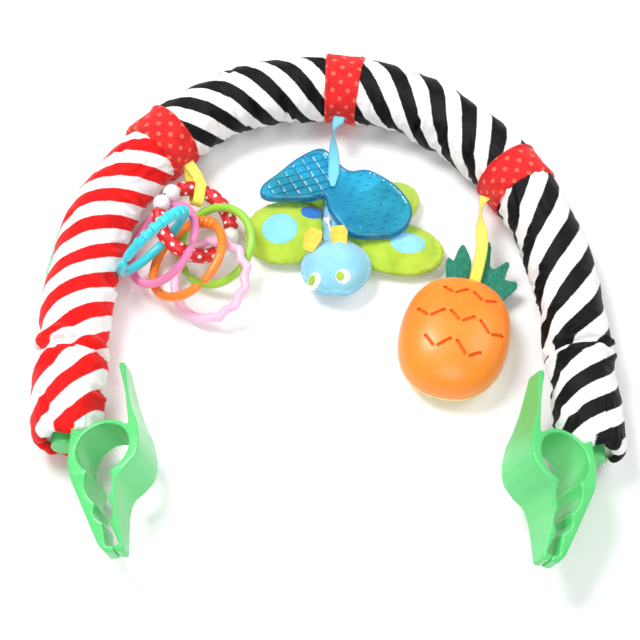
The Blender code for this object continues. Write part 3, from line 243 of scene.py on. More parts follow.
def velour(name, colour, shade):
    """Short brushed pile with a soft bloom, such as on a stuffed wing."""
    look = Look(name, colour, 0.85, Sheen_Weight=0.45, Sheen_Roughness=0.5)
    look.colour(look.mottle(60.0, 3.0, 0.30, 0.72, shade, colour))
    look.grain(420.0, 2.0, 0.25, 0.5)
    look.grain(2200.0, 2.0, 0.18, 0.7)
    return look.mat


def felt(name, colour, shade):
    """Matted felt with painted shade: darker in the dips of its fibre relief."""
    look = Look(name, colour, 0.95, Sheen_Weight=0.3)
    fibres = look.noise(900.0, 4.0, stretch=(1.0, 0.35, 1.0))
    # painted shade: the colour darkens where the fibre relief is low
    look.colour(look.blend(look.ramp(fibres, 0.35, 0.65), shade, colour))
    look.bump(fibres, 0.3 * MM, 0.8)
    return look.mat


def satin(name, colour, edge):
    """Woven ribbon: fine cross ribs and darker selvedges. Cloth coordinates are metres."""
    look = Look(name, colour, 0.45, Sheen_Weight=0.4)
    across, along, _ = look.split(look.cloth())
    rib_pitch = 0.45 * MM
    ribs = look.math("SINE", look.math("MULTIPLY", along, 2 * math.pi / rib_pitch))
    rim = look.ramp(look.math("ABSOLUTE", across), 3.2 * MM, 3.9 * MM)
    look.colour(look.blend(rim, colour, edge))
    look.bump(ribs, 0.10 * MM, 0.6)
    look.grain(700.0, 2.0, 0.1, 0.5)
    return look.mat


def moulded(name, colour, shade, roughness=0.32, coat=0.25):
    """Satin moulded plastic with a faint flow in its colour and a fine skin."""
    look = Look(name, colour, roughness, Coat_Weight=coat, Coat_Roughness=0.18)
    look.colour(look.mottle(22.0, 3.0, 0.3, 0.75, shade, colour))
    look.roughness(look.ramp(look.noise(90.0, 1.0), 0.3, 0.7, roughness - 0.02, roughness + 0.03))
    look.grain(260.0, 1.0, 0.02, 0.25)
    return look.mat


def dotted_cotton():
    """Plain woven red cotton with small paler dots."""
    look = Look("dotted_cotton", linear(245, 42, 44), 0.82, Sheen_Weight=0.08)
    vector = look.cloth()
    spots = dots(look, vector, 12.4 * MM, 1.5 * MM, 0.35 * MM)
    red = look.mottle(120.0, 3.0, 0.3, 0.7, linear(218, 16, 22), linear(244, 28, 28))
    look.colour(look.blend(spots, red, linear(255, 112, 78)))
    weave(look, vector, 0.55 * MM, 0.10 * MM)
    look.grain(260.0, 3.0, 0.25, 0.5)
    return look.mat


def dotted_sleeve():
    """Smooth red tubing with raised white dots."""
    look = Look("dotted_sleeve", linear(225, 28, 36), 0.42, Coat_Weight=0.2)
    spots = dots(look, look.cloth(), 9.8 * MM, 1.3 * MM, 0.2 * MM)
    red = look.mottle(90.0, 2.0, 0.3, 0.7, linear(205, 20, 32), linear(235, 34, 40))
    look.colour(look.blend(spots, red, (0.92, 0.90, 0.90)))
    look.bump(spots, 0.12 * MM, 0.6)
    look.grain(1200.0, 2.0, 0.05, 0.5)
    return look.mat


def clear_blue():
    """Clear blue vinyl filled with water. The groove attribute holds painted shade: it darkens the pressed
    lines and the rim.
    """
    look = Look("clear_blue_vinyl", (0.10, 0.62, 0.88), 0.08, Transmission_Weight=0.62, IOR=1.33,
                Coat_Weight=0.5, Coat_Roughness=0.06)
    groove = look.node("ShaderNodeAttribute", attribute_name="groove").outputs["Fac"]
    body = look.mottle(45.0, 2.0, 0.3, 0.7, (0.02, 0.46, 0.74), (0.05, 0.66, 0.96))
    # painted shade: deep blue in the pressed lines and along the rim, from the groove attribute
    look.colour(look.blend(groove, body, (0.0, 0.14, 0.36)))
    look.grain(110.0, 3.0, 0.5, 0.5)
    return look.mat


def metal(name, colour, roughness):
    """Brushed metal."""
    look = Look(name, colour, roughness, Metallic=1.0)
    brushed = look.noise(300.0, 3.0, stretch=(1.0, 1.0, 8.0))
    look.roughness(look.ramp(brushed, 0.3, 0.7, roughness, roughness + 0.15))
    look.bump(brushed, 0.03 * MM, 0.5)
    return look.mat


def open_foam():
    """Pale foam with fine open cells."""
    look = Look("open_foam", (0.86, 0.84, 0.78), 0.95)
    cells = look.node("ShaderNodeTexVoronoi")
    cells.inputs["Scale"].default_value = 900.0
    look.feed(look.place(), cells.inputs["Vector"])
    # painted shade: darker in the pits of the cells, where the relief is low
    look.colour(look.blend(look.ramp(cells.outputs["Distance"], 0.0, 0.6), (0.70, 0.67, 0.60),
                           (0.90, 0.88, 0.82)))
    look.bump(cells.outputs["Distance"], 0.3 * MM, 0.8)
    return look.mat


RED_PLUSH = plush("red_striped_plush", linear(246, 24, 22), linear(222, 14, 18), (0.93, 0.91, 0.92),
                  0.80, 0.12)
ZEBRA_PLUSH = plush("zebra_striped_plush", linear(5, 5, 7), linear(15, 15, 18), (0.93, 0.92, 0.93),
                    0.58, 0.0)
BAND_COTTON = dotted_cotton()
SLEEVE = dotted_sleeve()
MINT = moulded("mint_green_plastic", linear(96, 216, 124), linear(84, 204, 114), 0.30, 0.4)
WHITE_GLOSS = moulded("white_gloss_plastic", (0.90, 0.88, 0.89), (0.84, 0.82, 0.84), 0.18, 0.5)
YELLOW_RIBBON = satin("yellow_satin_ribbon", linear(255, 246, 96), linear(236, 206, 66))
BLUE_RIBBON = satin("blue_satin_ribbon", linear(120, 218, 240), linear(60, 170, 214))
RED_STITCH = felt("red_stitching_thread", linear(205, 26, 34), linear(180, 18, 28))
GREEN_VELOUR = velour("green_velour", linear(186, 214, 62), linear(166, 200, 48))
BLUE_VELOUR = velour("pale_blue_velour", linear(156, 216, 236), linear(136, 204, 230))
PATCH_BLUE = velour("light_blue_patch", linear(150, 222, 250), linear(128, 208, 244))
PATCH_DEEP = velour("deep_blue_patch", linear(24, 128, 214), linear(16, 104, 190))
WHITE_FELT = felt("white_felt", (0.90, 0.90, 0.90), (0.80, 0.80, 0.80))
PUPIL = velour("green_pupil", linear(180, 214, 72), linear(150, 190, 50))
YELLOW_FELT = felt("yellow_felt", linear(255, 216, 92), linear(252, 200, 72))
LEAF_FELT = felt("green_felt", linear(40, 140, 112), linear(26, 112, 92))
ORANGE_GLOSS = moulded("orange_gloss_plastic", linear(255, 148, 46), linear(252, 136, 36), 0.36, 0.15)
# painted shade: a darker orange for the sheet seen through the slots, standing for the shade in them
SHADED_SLOT_ORANGE = felt("shaded_slot_gauze", linear(244, 118, 34), linear(226, 98, 26))
CREAM = moulded("pale_yellow_plastic", linear(255, 228, 150), linear(252, 216, 132), 0.28, 0.4)
TEETHER = clear_blue()
TAB_CLOTH = felt("pale_green_cloth", linear(172, 228, 198), linear(150, 214, 182))
LINK_LOOKS = {
    "green_link": moulded("green_link_plastic", linear(166, 224, 78), linear(150, 212, 62), 0.30, 0.3),
    "orange_link": moulded("orange_link_plastic", linear(255, 146, 48), linear(250, 130, 34), 0.30, 0.3),
    "pink_link": moulded("pink_link_plastic", linear(255, 148, 200), linear(250, 130, 188), 0.32, 0.3),
    "cyan_link": moulded("cyan_link_plastic", linear(66, 226, 238), linear(50, 210, 226), 0.30, 0.3),
    "rose_link": moulded("rose_link_plastic", linear(255, 206, 232), linear(250, 194, 224), 0.34, 0.3),
}


# Mesh helpers
def linked(name, data):
    """An object in the scene."""
    made = bpy.data.objects.new(name, data)
    bpy.context.scene.collection.objects.link(made)
    return made


def built(made, name):
    """The mesh of a bmesh, which is freed."""
    mesh = bpy.data.meshes.new(name)
    made.to_mesh(mesh)
    made.free()
    return mesh


def dress(mesh, mat):
    """Leaves a mesh with one material."""
    mesh.materials.clear()
    mesh.materials.append(mat)


def add(name, mesh, mat, body, node=None):
    """A visible piece that may ride a body and stand for a CAD node."""
    dress(mesh, mat)
    made = linked(name, mesh)
    if node is not None:
        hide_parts(node)
    if body is not None:
        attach(made, body)
    return made


def faced(mesh, sharp=60.0):
    """Turns the faces outwards and shades them smooth."""
    made = bmesh.new()
    made.from_mesh(mesh)
    bmesh.ops.recalc_face_normals(made, faces=made.faces)
    made.to_mesh(mesh)
    made.free()
    mesh.shade_smooth()
    if sharp < 180.0:
        mesh.set_sharp_from_angle(angle=math.radians(sharp))
    return mesh


def grid_mesh(name, rings, cloth, ring_loop=False, caps=False):
    """Closed rings of points joined in order. cloth[i][j] is each ring point's place on the cloth."""
    rings = np.asarray(rings)
    rows, count, _ = rings.shape
    faces = []
    corners = []
    for i in range(rows if ring_loop else rows - 1):
        n = (i + 1) % rows
        for j in range(count):
            k = (j + 1) % count
            faces.append((i * count + j, i * count + k, n * count + k, n * count + j))
            corners += [cloth[i][j], cloth[i][j + 1], cloth[i + 1][j + 1], cloth[i + 1][j]]
    if caps:
        for i, order in ((0, 1), (rows - 1, -1)):
            faces.append(tuple(i * count + j for j in range(count))[::order])
            corners += [cloth[i][j] for j in range(count)][::order]
    mesh = bpy.data.meshes.new(name)
    mesh.from_pydata(rings.reshape(-1, 3), [], faces)
    layer = mesh.uv_layers.new(name="cloth")
    layer.uv.foreach_set("vector", np.asarray(corners, dtype=np.float32).ravel())
    return faced(mesh)


def smooth_through(points, steps, closed=False):
    """Points on a smooth curve through the given ones, so many to each stretch."""
    count = len(points)
    found = []
    for at in range(count if closed else count - 1):
        if closed:
            four = [points[(at + n) % count] for n in (-1, 0, 1, 2)]
        else:
            four = [points[min(max(at + n, 0), count - 1)] for n in (-1, 0, 1, 2)]
        a, b, c, d = (Vector(point) for point in four)
        for step in range(steps):
            t = step / steps
            found.append(0.5 * (2 * b + (c - a) * t + (2 * a - 5 * b + 4 * c - d) * t ** 2
                                + (3 * b - a - 3 * c + d) * t ** 3))
    if not closed:
        found.append(Vector(points[-1]))
    return found


def weld(mesh, near):
    """Joins points that lie closer than this."""
    made = bmesh.new()
    made.from_mesh(mesh)
    bmesh.ops.remove_doubles(made, verts=made.verts, dist=near)
    made.to_mesh(mesh)
    made.free()


def node_mesh(node):
    """A welded copy of a CAD node's mesh."""
    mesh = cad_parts[node].data.copy()
    mesh.name = node
    weld(mesh, GAP / 100)
    mesh.materials.clear()
    return mesh


def applied(mesh, *steps):
    """The mesh with modifiers applied: each step is a kind and its settings."""
    holder = linked("holder", mesh)
    for kind, settings in steps:
        made = holder.modifiers.new(kind.title(), kind)
        for title, value in settings.items():
            setattr(made, title, value)
    bpy.context.view_layer.update()
    graph = bpy.context.evaluated_depsgraph_get()
    result = bpy.data.meshes.new_from_object(holder.evaluated_get(graph))
    result.name = mesh.name
    bpy.data.objects.remove(holder)
    return result


def voxels(size):
    return "REMESH", {"mode": "VOXEL", "voxel_size": size, "use_smooth_shade": True}


def smoothing(factor, rounds):
    return "SMOOTH", {"factor": factor, "iterations": rounds}


def finer(levels):
    return "SUBSURF", {"levels": levels, "render_levels": levels}


def edge_run(points):
    """Lengths along a run of points."""
    found = [0.0]
    for first, second in zip(points, points[1:]):
        found.append(found[-1] + (second - first).length)
    return found


def way_at(points, at):
    """Direction of a run at one of its points."""
    return (points[min(at + 1, len(points) - 1)] - points[max(at - 1, 0)]).normalized()


def tube_along(name, points, radii, sides):
    """A round tube along points, closed by flat ends."""
    turns = [2 * math.pi * j / sides for j in range(sides + 1)]
    rings = []
    side = way_at(points, 0).orthogonal()
    for at, (point, radius) in enumerate(zip(points, radii)):
        way = way_at(points, at)
        side = (side - way * side.dot(way)).normalized()
        up = way.cross(side)
        rings.append([point + (side * math.cos(t) + up * math.sin(t)) * radius for t in turns[:-1]])
    cloth = [[(run, radius * t) for t in turns] for run, radius in zip(edge_run(points), radii)]
    return grid_mesh(name, rings, cloth, caps=True)


# Arch centreline
def centreline():
    """Closely spaced points on the tube's middle line, from the left end to the right one."""
    guide = [(x * ARCH_RADIUS, y * LEFT_LEG, 0.0) for x, y in LEFT_LEG_SHARES]
    guide += [(x * ARCH_RADIUS, y * ARCH_RADIUS, 0.0) for x, y in CURVE_SHARES]
    guide += [(x * ARCH_RADIUS, y * RIGHT_LEG, 0.0) for x, y in RIGHT_LEG_SHARES]
    shift = Vector((*ARCH_SHIFT, TUBE_HEIGHT))
    return [point + shift for point in smooth_through(guide, 24)]


LINE = centreline()
LENGTHS = edge_run(LINE)
WHOLE = LENGTHS[-1]


def arch_at(length):
    """Place and direction on the centreline at a length from the left foam end."""
    if length <= 0.0:
        way = (LINE[1] - LINE[0]).normalized()
        return LINE[0] + way * length, way
    if length >= WHOLE:
        way = (LINE[-1] - LINE[-2]).normalized()
        return LINE[-1] + way * (length - WHOLE), way
    at = next(n for n in range(1, len(LENGTHS)) if LENGTHS[n] >= length)
    share = (length - LENGTHS[at - 1]) / (LENGTHS[at] - LENGTHS[at - 1])
    way = way_at(LINE, at - 1).lerp(way_at(LINE, at), share).normalized()
    return LINE[at - 1].lerp(LINE[at], share), way


def length_at(turn):
    """Length along the arch where it reaches a turn from the top of its curve."""
    middle = Vector((*ARCH_SHIFT, TUBE_HEIGHT))
    for at, point in enumerate(LINE):
        arm = point - middle
        if arm.y > 0.0 and math.atan2(arm.x, arm.y) >= turn:
            return LENGTHS[at]
    return WHOLE


def outward(length):
    """Direction away from the inside of the arch."""
    way = arch_at(length)[1]
    return Vector((-way.y, way.x, 0.0))


LEFT_SEAM = length_at(math.radians(-44.0))
MIDDLE_SEAM = length_at(math.radians(3.8))
RIGHT_SEAM = length_at(math.radians(56.0))


def band_face(seam):
    """Where a ribbon leaves its band, on the inner side of the arch."""
    return arch_at(seam)[0] - outward(seam) * (BAND_FLAT + GAP)


# Striped covers. Round the tube, turn 0 is the arch's outer side, 90 its top and 180 its inner side
JUMP = 0.02 * MM             # half the strip over which stripes jump at the fold and the cinch
SEAM_TURN = -60.0            # the sewn seam of a cover lies low on the outer side
RED_DENTS = ((0.0, 0.10, 0.06), (0.28, 0.085, 0.05), (0.52, 0.05, 0.05), (0.80, 0.04, 0.05),
             (1.0, 0.125, 0.28))
CROWN_DENTS = ((0.16, 0.05, 0.03), (0.45, 0.035, 0.03), (0.80, 0.05, 0.03))
ZEBRA_DENTS = ((0.16, 0.05, 0.05), (0.50, 0.09, 0.05), (0.74, 0.04, 0.05))
FOLD = 0.0575                # deep fold across the left leg
CINCH = 0.7040               # drawn-in place on the right leg
# Stripes of each stretch: start, end, then at its middle the white stripe's shift in pitches, pitch
# and lean per quarter turn in millimetres, and the bow of the lean
STRIPES = (
    (-0.010, FOLD, -0.52, 31.5, 40.0, -12.0),
    (FOLD, LEFT_SEAM, 0.18, 25.8, 23.4, 0.0),
    (LEFT_SEAM, MIDDLE_SEAM, 0.13, 26.5, 27.7, 0.0),
    (MIDDLE_SEAM, RIGHT_SEAM, -0.47, 29.1, 31.5, 0.0),
    (RIGHT_SEAM, CINCH, -0.31, 32.3, 34.8, 0.0),
    (CINCH, 0.785, -0.38, 25.6, 18.7, 7.0),
)
STRIPE_MIDDLES = (29.0, 147.0, 326.0, 474.0, 633.0, 736.0)


def stripe_phase(length, turn):
    """Which stripe a place on the cloth belongs to: whole numbers are the middles of white ones."""
    at = next((n for n, row in enumerate(STRIPES) if length <= row[1]), len(STRIPES) - 1)
    _, _, shift, pitch, lean, bow = STRIPES[at]
    quarter = (turn - 90.0) / 90.0
    inside = max(-1.0, min(1.0, quarter))
    bent = bow * (inside ** 3 + 3 * (quarter - inside) * inside ** 2)
    return shift + (length / MM - STRIPE_MIDDLES[at] - lean * quarter - bent) / pitch


# Creases: place along the arch in millimetres, turn, length, direction from the arch's line in
# degrees, width and depth in millimetres
CREASES = (
    (57.5, 90, 95, 94, 2.8, 4.2), (65.5, 84, 92, 95, 4.6, -2.2), (49, 96, 76, 92, 4, -1.3),
    (62, 40, 34, 78, 2, 1.8), (52, 140, 30, 112, 2, 1.6), (30, 168, 26, 70, 2.2, 1.6),
    (14, 110, 24, 20, 2.4, 1.5), (10, 60, 22, -12, 2, 1.4), (118, 168, 22, 80, 2.4, 1.8),
    (92, 165, 20, 96, 2, 1.3), (150, 160, 26, 62, 2.2, 1.6), (186, 150, 26, 58, 2, 1.5),
    (212, 118, 34, 20, 2, 1.7), (222, 70, 26, 12, 1.8, 1.4), (226, 150, 20, 28, 1.8, 1.4),
    (205, 60, 24, 35, 2.2, 1), (160, 60, 30, 75, 2.6, 0.8), (292, 150, 24, 76, 1.8, 1.6),
    (306, 132, 30, 86, 1.6, 1.8), (326, 140, 24, 82, 1.6, 1.6), (318, 60, 22, 98, 1.8, 1),
    (352, 158, 24, 84, 1.6, 1.5), (372, 130, 22, 70, 1.6, 1.3), (424, 150, 22, 76, 1.6, 1.2),
    (468, 142, 22, 92, 1.6, 1.7), (492, 160, 22, 80, 1.6, 1.2), (518, 150, 22, 66, 1.8, 1.4),
    (446, 60, 24, 88, 2, 0.8), (572, 130, 26, 28, 1.8, 1.4), (582, 84, 26, 16, 1.8, 1.1),
    (600, 150, 24, 70, 1.8, 1.4), (640, 155, 22, 86, 2, 1.4), (676, 150, 26, 72, 2, 1.6),
    (704, 90, 84, 88, 2.4, 3.4), (698, 120, 26, 64, 1.8, 2), (712, 60, 26, 104, 1.8, 1.6),
    (730, 140, 24, 80, 2, 1.4), (752, 110, 24, 30, 2.2, 1.6), (758, 60, 22, -14, 2, 1.4),
)
# Where a toy leans on a cover: place, turn, half length in millimetres, half turn, depth
DIMPLES = ((150.0, 135.0, 24.0, 36.0, 2.9), (176.0, 150.0, 18.0, 30.0, 1.4))
PLEATS = 17                  # small gathers round a cover beside a band, the fold or a hem
GATHERS = (FOLD, CINCH, LEFT_SEAM - BAND_WIDTH / 2, LEFT_SEAM + BAND_WIDTH / 2,
           MIDDLE_SEAM - BAND_WIDTH / 2, MIDDLE_SEAM + BAND_WIDTH / 2, RIGHT_SEAM - BAND_WIDTH / 2,
           RIGHT_SEAM + BAND_WIDTH / 2, 0.0, WHOLE)

CREASE_WAVE = 1.2            # how far a crease wanders off its line, in millimetres
CREASE_GAIN = 1.3
ROLL_HEIGHT = 0.65           # the puffed rolls beside a crease, as a share of its depth
ROLL_AWAY = 2.1              # and how far off they lie, in crease widths
PLEAT_HEIGHT = 0.55          # in millimetres, as are the next ones
PLEAT_FADE = 7.0
LUMP_HEIGHT = 1.1
FINE_LUMP_HEIGHT = 0.5
RUCK_HEIGHT = 3.4
LUMP_SIZE = 0.021
RUCK_SIZE = 0.0085


def turned(turns, middle):
    """Turns counted from a middle one, from -180 to 180 degrees."""
    return (turns[None, :] - middle + 180.0) % 360.0 - 180.0


def crease(x, y, long, way, width, phase):
    """A fold along a slightly wavy line, 1 deep, with a puffed roll on both sides. In millimetres."""
    run = x * math.cos(way) + y * math.sin(way)
    across = y * math.cos(way) - x * math.sin(way)
    across = across + CREASE_WAVE * np.sin(run / 5.0 + phase)
    rolls = sum(np.exp(-((across + away * width) / width) ** 2) for away in (-ROLL_AWAY, ROLL_AWAY))
    return (ROLL_HEIGHT * rolls - np.exp(-(across / width) ** 2)) * np.exp(-(2 * run / long) ** 4)


def lump(length, angle):
    """Soft unevenness of the filling, more rucked on the inner side of the arch. In millimetres."""
    spot = Vector((length / LUMP_SIZE, math.cos(angle) * 1.1, math.sin(angle) * 1.1))
    ruck = noise.noise(Vector((length / RUCK_SIZE, math.cos(angle), math.sin(angle) + 7.0)))
    inner = max(0.0, -math.cos(angle)) ** 1.5 + 0.15
    return (noise.noise(spot) * LUMP_HEIGHT + noise.noise(spot * 2.7) * FINE_LUMP_HEIGHT
            + (0.25 - abs(ruck)) * inner * RUCK_HEIGHT)


def relief(lengths, turns, radius):
    """Folds, gathers and soft lumps of a cover: how far each point stands out, in metres."""
    along = lengths[:, None] / MM
    around = np.radians(turns[None, :])
    found = np.zeros((len(lengths), len(turns)))
    for place, turn, long, way, width, depth in CREASES:
        y = np.radians(turned(turns, turn)) * radius / MM
        found += crease(along - place, y, long, math.radians(way), width, place) * CREASE_GAIN * depth
    for place, turn, half_length, half_turn, depth in DIMPLES:
        off_middle = ((along - place) / half_length) ** 2 + (turned(turns, turn) / half_turn) ** 2
        found -= np.exp(-off_middle) * depth
    for place in GATHERS:
        near = np.exp(-np.abs(along - place / MM) / PLEAT_FADE)
        found += near * np.sin(around * PLEATS + 3 * np.sin(around * 3 + place * 70)) * PLEAT_HEIGHT
    for i, length in enumerate(lengths):
        found[i] += [lump(length, math.radians(turn)) for turn in turns]
    return found * MM


def dented(lengths, dents):
    """How much a cover draws in along its length, as a factor of its radius."""
    share = (lengths - lengths[0]) / (lengths[-1] - lengths[0])
    factor = np.ones_like(lengths)
    for place, depth, half in dents:
        factor -= depth * np.exp(-((share - place) / half) ** 2)
    return factor


# A hem's rings: how far past the edge in millimetres, and their size as a share of the edge's
FREE_HEM = ((2.0, 0.97), (4.2, 0.88), (5.2, 0.77), (4.4, 0.67), (2.4, 0.61))
TUCKED_HEM = ((0.35, 0.985), (0.55, 0.96), (0.45, 0.93))


def hem_rings(outer, length, sign, free):
    """The turned edge of a cover: rings from the outer wall round to the inner one.

    A free hem hangs loose over the clip's post, ragged and drawn in. The others tuck under a band.
    """
    point, way = arch_at(length)
    rings = []
    for along, scale in FREE_HEM if free else TUCKED_HEM:
        ring = []
        for j, spot in enumerate(outer):
            turn = 2 * math.pi * j / len(outer)
            rag = 0.14 * math.sin(turn * 5 + length * 40) + 0.10 * math.sin(turn * 11 + 1.0) if free else 0.0
            shrink = scale * (1.0 + 0.10 * (1.0 - scale) * math.sin(turn * 9) * 3)
            ring.append(point + (Vector(spot) - point) * shrink + way * sign * along * (1.0 + rag) * MM)
        rings.append(ring)
    return rings


def wall_point(point, side, reach, angle, floor):
    """A place on a wall round the tube. Where the wall lies on the ground it is pressed flat."""
    low = max(reach * math.sin(angle), floor - TUBE_HEIGHT)
    return point + side * reach * math.cos(angle) + Vector((0.0, 0.0, low))


def wall_rings(lengths, turns, reach):
    """Rings of a wall round the tube, given how far each point reaches from its middle."""
    angles = [math.radians(turn) for turn in turns]
    return [[wall_point(arch_at(length)[0], outward(length), reach[row, j], angle, 0.1 * MM)
             for j, angle in enumerate(angles)] for row, length in enumerate(lengths)]


def bend_with(made, body, seam, away):
    """Bakes a piece's placement into its mesh."""
    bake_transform(made)


def cover(name, start, end, radius, dents, mat, free_ends, bends):
    """A plush sleeve with creases, a plain inner wall against the foam and a turned hem at each end."""
    step, sides = ((1.5 * MM, 96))
    lengths = np.linspace(start, end, int((end - start) / step))
    breaks = [place + shift for place in (FOLD, CINCH) if start < place < end for shift in (-JUMP, JUMP)]
    lengths = np.sort(np.concatenate((lengths, breaks)))
    turns = SEAM_TURN + np.arange(sides) * 360.0 / sides
    out = radius * dented(lengths, dents)[:, None] + relief(lengths, turns, radius)
    out = np.clip(out, COVER_BORE + 0.5 * MM, COVER_LIMIT)
    outer = wall_rings(lengths, turns, out)
    inside = np.linspace(end, start, int((end - start) / (8 * MM)))
    inner = wall_rings(inside, turns, np.full((len(inside), sides), COVER_BORE + 0.1 * MM))
    low_hem = hem_rings(outer[0], start, -1.0, free_ends[0])[::-1]
    high_hem = hem_rings(outer[-1], end, 1.0, free_ends[1])
    places = [*lengths, *[end] * len(high_hem), *inside, *[start] * len(low_hem), start]
    mesh = grid_mesh(name, outer + high_hem + inner + low_hem,
                     [cloth_row(length, sides) for length in places], ring_loop=True)
    made = add(name, mesh, mat, None if bends else "arch", name)
    if bends:
        bend_with(made, *bends)


def cloth_row(length, sides):
    """Cloth coordinates along one ring: the stripe's phase, then the turn."""
    turns = [SEAM_TURN + 360.0 * j / sides for j in range(sides + 1)]
    return [(stripe_phase(length, turn), turn / 360.0) for turn in turns]


def make_core():
    """Foam and rod in a left and a right half."""
    foam = open_foam()
    sheath = moulded("grey_sheath", (0.22, 0.23, 0.25), (0.18, 0.19, 0.21), 0.45, 0.0)
    middle = (LEFT_SEAM + RIGHT_SEAM) / 2
    for side, start, end, seam, away in (("left", 0.0, middle, LEFT_SEAM, -FLEX_SPAN),
                                         ("right", middle, WHOLE, RIGHT_SEAM, FLEX_SPAN)):
        bends = (side + "_leg", seam, away)
        core_half("foam_padding", side, start, end, FOAM_RADIUS, ROD_RADIUS + GAP, foam, bends)
        rod_start, rod_end = max(start, ROD_INSET), min(end, WHOLE - ROD_INSET)
        core_half("bendable_core_rod", side, rod_start, rod_end, ROD_RADIUS, 0.0, sheath, bends)


def core_half(node, side, start, end, radius, bore, mat, bends):
    """A plain tube or rod along part of the arch."""
    step, sides = 4.0 * MM, 40
    lengths = np.linspace(start, end, int((end - start) / step))
    turns = np.arange(sides) * 360.0 / sides
    rings = wall_rings(lengths, turns, np.full((len(lengths), sides), radius - 0.2 * MM))
    places = list(lengths)
    if bore:
        rings += wall_rings(lengths[::-1], turns, np.full((len(lengths), sides), bore))
        places += places[::-1]
    cloth = [[(length, turn / 360.0) for turn in (*turns, 360.0)] for length in places]
    mesh = grid_mesh("%s_%s" % (side, node), rings, cloth + cloth[:1], ring_loop=bool(bore), caps=not bore)
    bend_with(add(mesh.name, mesh, mat, None, node), *bends)


def make_covers():
    half = SEAM_SPLIT / 2
    cover("red_leg_cover", -HEM_OVERHANG, LEFT_SEAM - half, RED_RADIUS, RED_DENTS, RED_PLUSH,
          (True, False), ("left_leg", LEFT_SEAM, -FLEX_SPAN))
    cover("zebra_crown_cover", LEFT_SEAM + half, RIGHT_SEAM - half, ZEBRA_RADIUS, CROWN_DENTS,
          ZEBRA_PLUSH, (False, False), None)
    cover("zebra_leg_cover", RIGHT_SEAM + half, WHOLE + HEM_OVERHANG, ZEBRA_RADIUS, ZEBRA_DENTS,
          ZEBRA_PLUSH, (False, True), ("right_leg", RIGHT_SEAM, FLEX_SPAN))


# Bands
BAND_ROWS = 28
BAND_SIDES = 96
LAP_TURN = 150.0             # where the band's end laps over its start


def band_height(seam, share, turn):
    """How far a band stands over its radius, in millimetres: hem, lap, waves and rucks."""
    angle = math.radians(turn)
    edge = min(share, 1.0 - share) * BAND_WIDTH / MM
    hem = 0.7 * math.exp(-((edge - 1.6) / 1.1) ** 2) - 1.1 * math.exp(-edge / 0.5)
    waves = 0.35 * math.sin(angle * 5 + share * 5) * math.sin(share * math.pi)
    past = turn - LAP_TURN
    lap = 0.8 / (1.0 + math.exp(-past / 1.2)) * math.exp(-max(0.0, past) / 14.0)
    ruck = noise.noise(Vector((share * 3.0 + seam * 50, math.cos(angle) * 2.2, math.sin(angle) * 2.2)))
    return hem + waves + lap + ruck * 0.9


def make_band(name, seam, bends):
    """A dotted band with folded edges and a lapped seam on its inner side."""
    turns = [SEAM_TURN + 360.0 * j / BAND_SIDES for j in range(BAND_SIDES + 1)]
    rings = []
    cloth = []
    for i in range(BAND_ROWS + 1):
        share = i / BAND_ROWS
        length = seam + (share - 0.5) * BAND_WIDTH
        place = (arch_at(length)[0], outward(length))
        rings.append([wall_point(*place, BAND_RADIUS + band_height(seam, share, turn) * MM,
                                 math.radians(turn), 0.3 * MM) for turn in turns[:-1]])
        cloth.append([(share * BAND_WIDTH, BAND_RADIUS * math.radians(turn)) for turn in turns])
    inner = []
    for at in (BAND_ROWS, 0):
        point, _ = arch_at(seam + (at / BAND_ROWS - 0.5) * BAND_WIDTH)
        inner.append([point + (Vector(p) - point) * 0.93 for p in rings[at]])
    cloth += [cloth[-1], cloth[0], cloth[0]]
    made = add(name, grid_mesh(name, rings + inner, cloth, ring_loop=True), BAND_COTTON,
               None if bends else "arch", name)
    for edge in (-1.0, 1.0):
        stitches(name, seam, edge * (BAND_WIDTH / 2 - 2.6 * MM), bends)
    if bends:
        bend_with(made, *bends)


def stitches(name, seam, offset, bends):
    """A row of sewn stitches round a band."""
    made = bmesh.new()
    count = 44
    point, way = arch_at(seam + offset)
    side = outward(seam + offset)
    for n in range(count):
        turn = math.radians(SEAM_TURN + 360.0 * (n + 0.5) / count)
        if math.sin(turn) < -0.75:
            continue
        out = side * math.cos(turn) + Vector((0.0, 0.0, math.sin(turn)))
        home = Matrix((way, way.cross(out), out)).transposed().to_4x4()
        home.translation = point + out * (BAND_RADIUS + 0.75 * MM)
        size = Matrix.Diagonal((0.32 * MM, 1.15 * MM, 0.26 * MM, 1.0))
        bmesh.ops.create_uvsphere(made, u_segments=8, v_segments=6, radius=1.0, matrix=home @ size)
    title = "%s_stitches_%s" % (name, "low" if offset < 0 else "high")
    row = add(title, faced(built(made, name)), RED_STITCH, None if bends else "arch")
    if bends:
        bend_with(row, *bends)


def make_bands():
    make_band("left_band", LEFT_SEAM, ("left_leg", LEFT_SEAM, -FLEX_SPAN))
    make_band("middle_band", MIDDLE_SEAM, None)
    make_band("right_band", RIGHT_SEAM, ("right_leg", RIGHT_SEAM, FLEX_SPAN))


TAB_MIDDLE = LEFT_LEG + 0.0440
TAB_LENGTH = 0.062
TAB_WIDTH = 3.6 * MM
TAB_WALL = 1.0 * MM
TAB_ROWS = 30


def make_tab():
    """The bare cloth tab in the left leg's outer seam, drooping a little."""
    droop = math.radians(15.0)
    points, sides = [], []
    for n in range(TAB_ROWS + 1):
        length = TAB_MIDDLE + (n / TAB_ROWS - 0.5) * TAB_LENGTH
        side = outward(length) * math.cos(droop) + Vector((0.0, 0.0, -math.sin(droop)))
        ripple = 0.25 * MM * math.sin(n * 0.9)
        reach = RED_RADIUS + GAP + TAB_WIDTH / 2
        points.append(arch_at(length)[0] + side * reach + Vector((0.0, 0.0, ripple)))
        sides.append(side)
    mesh = ribbon_mesh("plain_green_tab", points, sides, TAB_WIDTH, TAB_WALL)
    add("plain_green_tab", mesh, TAB_CLOTH, "left_leg", "plain_green_tab")


RIBBON_EDGE = ((0.94, 0.42), (0.6, 0.5), (0.0, 0.5), (-0.6, 0.5), (-0.94, 0.42))


